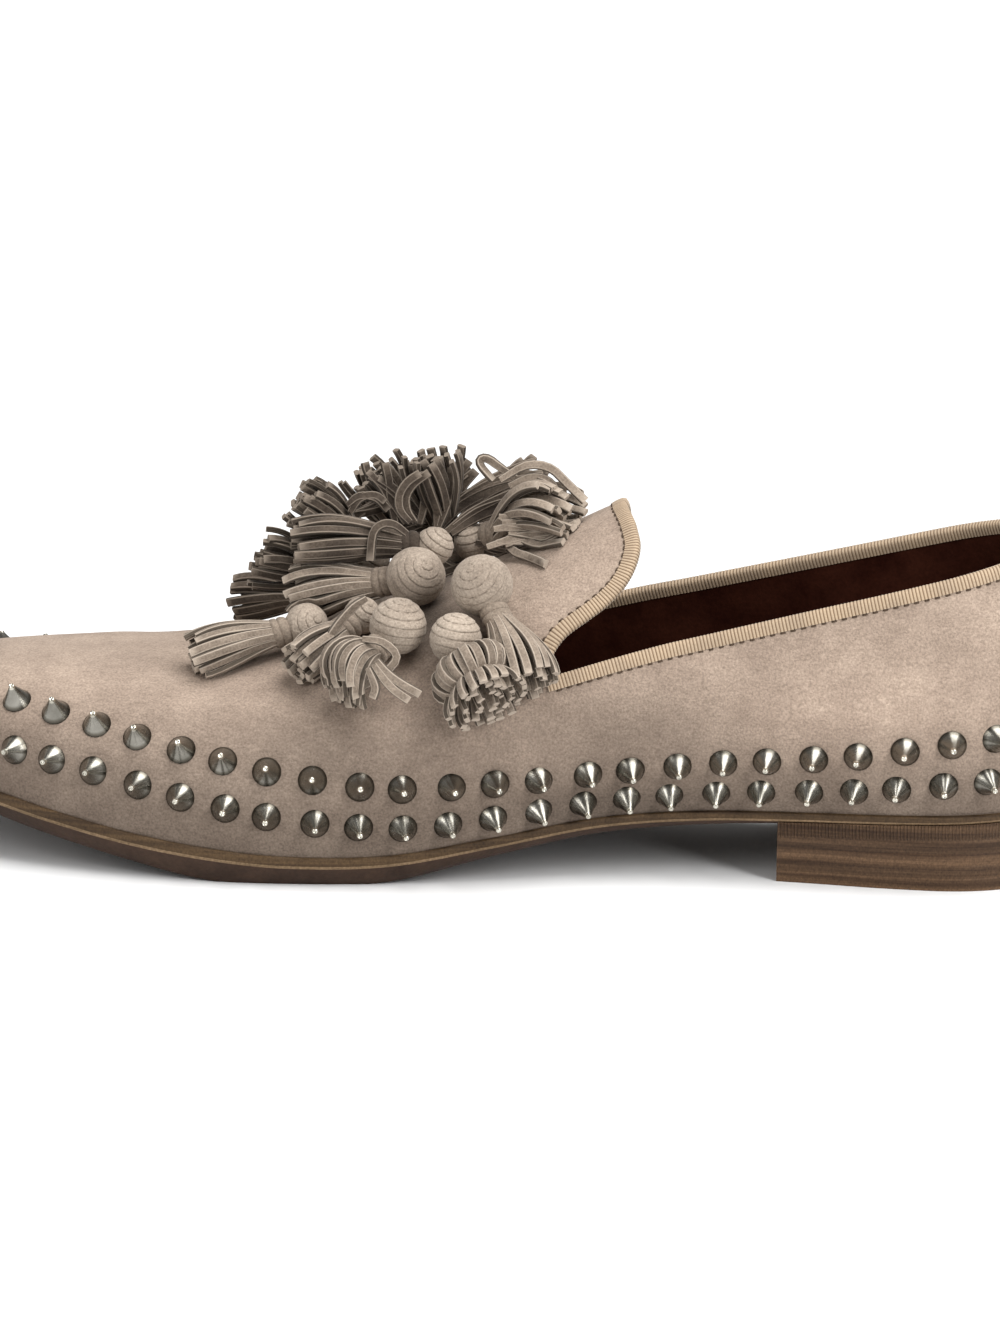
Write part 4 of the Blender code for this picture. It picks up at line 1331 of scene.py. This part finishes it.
def above_vamp(point, clearance):
    """Lift a point that would come too close to the vamp."""
    v = v_at_width(point.x, point.y)
    floor = surface(point.x, v)
    out = surface_normal(point.x, v)
    short = clearance - (point - floor).dot(out)
    return point + out * short if short > 0.0 else point


def clear_of(point, balls, clearance):
    """Push a point out of the balls."""
    for middle, radius in balls:
        away = point - middle
        if away.length < radius + clearance:
            point = middle + away.normalized() * (radius + clearance)
    return point


def add_ball(bm, layer, centre, size, pole, start):
    """Ball wound from a flat thong: one spiral band from pole to pole, each turn lapping the last."""
    turn = pole.to_track_quat("Z", "Y").to_matrix()
    turns = math.pi * size / BAND_WIDTH
    rings = []
    for j in range(1, BALL_STEPS):
        tilt = math.pi * j / BALL_STEPS
        ring = []
        for k in range(BALL_SEGMENTS):
            angle = 2.0 * math.pi * k / BALL_SEGMENTS
            place = turns * j / BALL_STEPS - k / BALL_SEGMENTS + start
            share = place - math.floor(place)
            band = 1.0 - abs(2.0 * share - 1.0) ** BAND_FLATNESS
            radius = size + BAND_RISE * (band - 1.0) + BAND_OVERLAP * (share - 0.5)
            wide = math.sin(tilt)
            around = Vector((wide * math.cos(angle), wide * math.sin(angle), math.cos(tilt)))
            ring.append(bm.verts.new(centre + turn @ around * radius))
        rings.append(ring)
    reach = size - BAND_RISE
    ends = [bm.verts.new(centre + pole * reach), bm.verts.new(centre - pole * reach)]
    faces = []
    for near, far in zip(rings, rings[1:]):
        for k in range(BALL_SEGMENTS):
            after = (k + 1) % BALL_SEGMENTS
            faces.append(bm.faces.new((near[k], far[k], far[after], near[after])))
    for k in range(BALL_SEGMENTS):
        after = (k + 1) % BALL_SEGMENTS
        faces.append(bm.faces.new((rings[0][k], rings[0][after], ends[0])))
        faces.append(bm.faces.new((rings[-1][after], rings[-1][k], ends[1])))
    lay_flat(faces, layer, PLAIN_UV)


def add_neck(bm, layer, root, axis):
    """Thong wrapped twice round the neck, from the ball's face on."""
    turn = axis.to_track_quat("Z", "Y").to_matrix()
    rings = [turned_ring(bm, root, turn, *sizes, NECK_SEGMENTS, NECK_SLANT) for sizes in NECK]
    faces = [bm.faces.new(list(reversed(rings[0]))), bm.faces.new(rings[-1])]
    for near, far in zip(rings, rings[1:]):
        faces += bridge(bm, near, far)
    for face in faces:
        face.material_index = 1
    lay_flat(faces, layer, PLAIN_UV)


def strip_section(width, thickness):
    """Corners of a strip's section, softened, as places across and through it."""
    w = width / 2.0
    t = thickness / 2.0
    c = STRIP_CORNER
    return ((c - w, -t), (w - c, -t), (w, c - t), (w, t - c),
            (w - c, t), (c - w, t), (-w, t - c), (-w, c - t))


def add_strip(bm, layer, path, wide, twist, width=STRIP_WIDTH, thickness=STRIP_THICKNESS):
    """Flat strip along a path, turning about its own line by a twist."""
    rings = []
    last = len(path) - 1
    side = wide
    corners = strip_section(width, thickness)
    for k, point in enumerate(path):
        along = (path[min(k + 1, last)] - path[max(k - 1, 0)]).normalized()
        side = (side - along * side.dot(along)).normalized()
        turn = twist * k / last
        through = along.cross(side)
        flat = side * math.cos(turn) + through * math.sin(turn)
        deep = through * math.cos(turn) - side * math.sin(turn)
        share = min(STRIP_ROOT + STRIP_WIDENING * k / last, 1.0)
        rings.append([bm.verts.new(point + flat * a * share + deep * b) for a, b in corners])
    faces = [bm.faces.new(list(reversed(rings[0]))), bm.faces.new(rings[-1])]
    for face, reach in zip(faces, (0.0, 1.0)):
        lay_flat((face,), layer, (0.5, reach))
    places = [corner[0] / width + 0.5 for corner in (*corners, corners[0])]
    for j, (near, far) in enumerate(zip(rings, rings[1:])):
        faces += add_band(bm, layer, near, far, places, (j / last, (j + 1) / last))
    for face in faces:
        face.material_index = 1
    bmesh.ops.recalc_face_normals(bm, faces=faces)


def fringe_axes(row):
    """Direction of a fringe, sideways of it and over it."""
    heading = math.radians(row["heading"])
    pitch = math.radians(row["pitch"])
    level = math.cos(pitch)
    axis = Vector((math.cos(heading) * level, math.sin(heading) * level, math.sin(pitch)))
    across = axis.cross(Vector((0.0, 0.0, 1.0))).normalized()
    return axis, across, across.cross(axis)


def spoke(axes, turn):
    """Direction out from a fringe's axis at a turn about it."""
    _, across, up = axes
    return across * math.cos(turn) + up * math.sin(turn)


def fringe_path(row, root, axes, ring, turn, draw, balls):
    """Middle line of one strip: out of the neck, bowing and bending, clear of the vamp and the balls."""
    axis, across, up = axes
    wildness = 1.3
    bend = math.radians(row["arch"]) * draw.uniform(0.8, 1.2)
    slack = bend / 2.0 / math.sin(bend / 2.0)
    length = (FRINGE_REACH + row["length"] - FRINGE_ROOT) * slack * draw.uniform(0.90, 1.04)
    drift = Vector((draw.gauss(0.0, 1.0), draw.gauss(0.0, 1.0))) * row["curl"] * wildness
    bow = draw.uniform(0.4, 1.3) * ring["fan"]
    spine = root + axis * FRINGE_ROOT
    path = []
    for k in range(STRIP_STEPS + 1):
        t = k / STRIP_STEPS
        lean = bend * (0.5 - t)
        if k:
            spine = spine + (axis * math.cos(lean) + up * math.sin(lean)) * (length / STRIP_STEPS)
        open_out = t * t * (3.0 - 2.0 * t)
        start = ROOT_RADIUS * ring["root"]
        fan = start + (row["spread"] * ring["fan"] - start) * open_out + bow * math.sin(math.pi * t)
        point = spine + spoke(axes, turn) * fan + (across * drift.x + up * drift.y) * t * t
        if k > 1:
            point = clear_of(point, balls, STRIP_CLEARANCE)
            point = above_vamp(point, STRIP_CLEARANCE)
        path.append(point)
    return path


def loop_path(root, axes, turn, draw):
    """Strip folded back on itself beside the neck."""
    reach = draw.uniform(0.92, 1.08)
    path = []
    for k in range(STRIP_STEPS + 1):
        row = lookup(LOOP, LOOP_COLUMNS, LOOP[-1][0] * k / STRIP_STEPS)
        point = root + axes[0] * row["along"] + spoke(axes, turn) * row["out"] * reach
        path.append(above_vamp(point, STRIP_CLEARANCE))
    return path


def seen_at(across, over, depth):
    """Point at a place of the photograph, at a depth along the view or laid on the vamp."""
    right, up, ahead = VIEW
    point = right * across + up * over
    if depth is not None:
        return point + ahead * depth
    for reach in LAID_DEPTHS:
        spot = point + ahead * reach
        laid = above_vamp(spot, STRIP_CLEARANCE)
        if laid != spot:
            break
    return laid


def stray_path(stray, draw):
    """Smooth middle line of a strip that lies apart from its fringe."""
    course = stray["course"]
    last = len(course) - 1
    start, end = (Vector((draw.gauss(0.0, 1.0), draw.gauss(0.0, 1.0))) * stray["part"] for _ in range(2))
    rows = []
    for k, (across, over) in enumerate(course):
        shift = start.lerp(end, k / last)
        depth = stray["depth"]
        if isinstance(depth, tuple):
            depth = depth[0] + (depth[1] - depth[0]) * k / last
        rows.append((k, *seen_at(across + shift.x, over + shift.y, depth)))
    path = []
    for k in range(STRIP_STEPS + 1):
        row = lookup(rows, ("step", "x", "y", "z"), last * k / STRIP_STEPS)
        path.append(above_vamp(Vector((row["x"], row["y"], row["z"])), STRIP_CLEARANCE))
    return path


def make_tassel(number, row, balls, materials):
    """One tassel: wound ball, wrapped neck and a full fringe of cut strips."""
    fringe_jitter = 0.22
    fringe_twist = 0.35
    loop_jitter = 0.2
    stray_roll = 0.5
    stray_twist = 0.3
    draw = random.Random(number)
    axes = fringe_axes(row)
    axis = axes[0]
    bm = bmesh.new()
    layer = bm.loops.layers.uv.new("strip")
    right, over, ahead = VIEW
    facing = math.sqrt(1.0 - row["pole_right"] ** 2 - row["pole_up"] ** 2)
    pole = right * row["pole_right"] + over * row["pole_up"] - ahead * facing
    centre, size = balls[number - 1]
    root = centre + axis * size
    add_ball(bm, layer, centre, size, pole, draw.random())
    add_neck(bm, layer, root, axis)
    for values in RINGS:
        ring = dict(zip(RING_COLUMNS, values))
        offset = draw.random()
        count = round(ring["count"] * row["fill"])
        for k in range(count):
            turn = 2.0 * math.pi * (k + offset + draw.uniform(-fringe_jitter, fringe_jitter)) / count
            wide = axis.cross(spoke(axes, turn))
            path = fringe_path(row, root, axes, ring, turn, draw, balls)
            add_strip(bm, layer, path, wide, draw.gauss(0.0, fringe_twist) * row["curl"])
    for k in range(row["loops"]):
        turn = 2.0 * math.pi * (k + draw.uniform(-loop_jitter, loop_jitter)) / row["loops"]
        wide = axis.cross(spoke(axes, turn))
        add_strip(bm, layer, loop_path(root, axes, turn, draw), wide, 0.0, LOOP_WIDTH, LOOP_THICKNESS)
    for values in STRAYS:
        stray = dict(zip(STRAY_COLUMNS, values))
        if stray["tassel"] == number:
            for _ in range(stray["count"]):
                path = stray_path(stray, draw)
                wide = (path[1] - path[0]).cross(ahead) + ahead * draw.uniform(-stray_roll, stray_roll)
                add_strip(bm, layer, path, wide, draw.gauss(0.0, stray_twist))
    node = f"tassel_{number:02d}"
    finish_piece(mesh_object(node + "_suede", bm, materials, sharp=45), "suede", node)


def strip_material(name, dark, light, raw):
    """Suede strips: nap on the flats, a paler line inside each edge, pale cut ends, and painted shade on the
    cut sides for the dark gaps between strips.
    """
    material = suede_material(name, dark, light, 0.10)
    tree, shader, colour = painted(material)
    place = axes_of(tree, coordinates(tree, "UV"))
    painted_gap_shade = (0.22, 0.21, 0.20)
    edge = ramp(tree, place["X"], (0.10, 1.0), (0.20, 0.0), (0.80, 0.0), (0.90, 1.0))
    # Painted shade: the cut sides are darkened to stand for the shade in the gaps between strips
    side = ramp(tree, place["X"], (0.02, painted_gap_shade), (0.09, 1.0), (0.91, 1.0), (0.98, painted_gap_shade))
    tip = ramp(tree, place["Y"], (0.90, 0.0), (1.0, 0.8))
    bare = mix(tree, "LIGHTEN", 1.0, edge, tip)
    pale = mix(tree, "MIX", bare, colour, raw)
    wire(tree, shader, mix(tree, "MULTIPLY", 1.0, pale, side))
    return material


def make_tassels():
    """Burst of tassels over the vamp."""
    rows = [dict(zip(TASSEL_COLUMNS, values)) for values in TASSELS]
    balls = [(ball_centre(row), row["ball"]) for row in rows]
    wound = suede_material("ball_suede", (0.245, 0.200, 0.160), (0.385, 0.322, 0.262), 0.12)
    # The second strip material is a darker copy of the first: painted shade for the tassels that lie in shade
    front = strip_material("lit_strips", (0.150, 0.119, 0.093), (0.290, 0.236, 0.187), (0.40, 0.335, 0.272))
    shaded_strip_material = strip_material("shaded_strips", (0.042, 0.032, 0.025), (0.104, 0.081, 0.062), (0.235, 0.192, 0.153))
    for number, row in enumerate(rows, start=1):
        make_tassel(number, row, balls, (wound, front if number in LIT_STRIP_TASSELS else shaded_strip_material))


make_tassels()


# Floor, light and camera


def stage_material():
    """Matt white floor with a faint cloud."""
    material, tree, shader = new_material("floor", roughness=0.9, specular_ior_level=0.1)
    cloud = noise(tree, coordinates(tree), 800.0)
    wire(tree, shader, ramp(tree, cloud, (0.3, 0.72), (0.7, 0.74)))
    return material


def make_floor():
    """Wide pale floor."""
    reach = 14.0
    bm = bmesh.new()
    bmesh.ops.create_grid(bm, x_segments=1, y_segments=1, size=reach)
    mesh = bpy.data.meshes.new("floor")
    bm.to_mesh(mesh)
    bm.free()
    mesh.materials.append(stage_material())
    floor = bpy.data.objects.new("floor", mesh)
    bpy.context.scene.collection.objects.link(floor)


def aim(item, target):
    """Turn a light towards a point."""
    item.rotation_euler = (target - item.location).to_track_quat("-Z", "Y").to_euler()


def add_area(name, place, size, energy):
    """Soft box that looks at the shoe."""
    light = bpy.data.lights.new(name, "AREA")
    light.shape = "RECTANGLE"
    light.size = size[0]
    light.size_y = size[1]
    light.energy = energy
    item = bpy.data.objects.new(name, light)
    item.location = place
    aim(item, Vector((0.0, 0.0, 0.04)))
    bpy.context.scene.collection.objects.link(item)


def make_light():
    """Even pale surroundings, a broad overhead sun and soft boxes that streak the studs."""
    scene = bpy.context.scene
    world = bpy.data.worlds.new("studio")
    world.use_nodes = True
    background = world.node_tree.nodes["Background"].inputs
    background["Color"].default_value = (1.0, 0.99, 0.975, 1.0)
    background["Strength"].default_value = 0.28
    scene.world = world
    sun = bpy.data.lights.new("overhead", "SUN")
    sun.energy = 3.8
    sun.angle = math.radians(50)
    item = bpy.data.objects.new("overhead", sun)
    item.location = (0.5, -0.1, 2.0)
    aim(item, Vector((0.0, 0.0, 0.0)))
    scene.collection.objects.link(item)
    add_area("box_left", Vector((-0.95, -1.05, 0.75)), (0.35, 1.0), 9.0)
    add_area("box_right", Vector((0.95, -0.95, 0.75)), (0.35, 1.0), 16.0)
    scene.view_settings.view_transform = "Standard"


def make_camera():
    """Camera at the photograph's angle, rolled as the shoe stands there."""
    right, up, ahead = VIEW
    across = (IMAGE_WIDTH / 2.0 - ORIGIN_PIXEL[0]) / PIXELS_PER_MM
    over = (ORIGIN_PIXEL[1] - IMAGE_HEIGHT / 2.0) / PIXELS_PER_MM
    target = ORIGIN + (right * across + up * over) * MM
    camera = bpy.data.cameras.new("camera")
    camera.sensor_fit = "AUTO"
    camera.sensor_width = SENSOR
    camera.lens = SENSOR * CAMERA_DISTANCE * PIXELS_PER_MM / IMAGE_HEIGHT
    item = bpy.data.objects.new("camera", camera)
    place = target - ahead * CAMERA_DISTANCE * MM
    axes = Matrix((right, up, -ahead)).transposed().to_4x4()
    item.matrix_world = Matrix.Translation(place) @ axes
    bpy.context.scene.collection.objects.link(item)
    bpy.context.scene.camera = item


make_floor()
make_light()
make_camera()
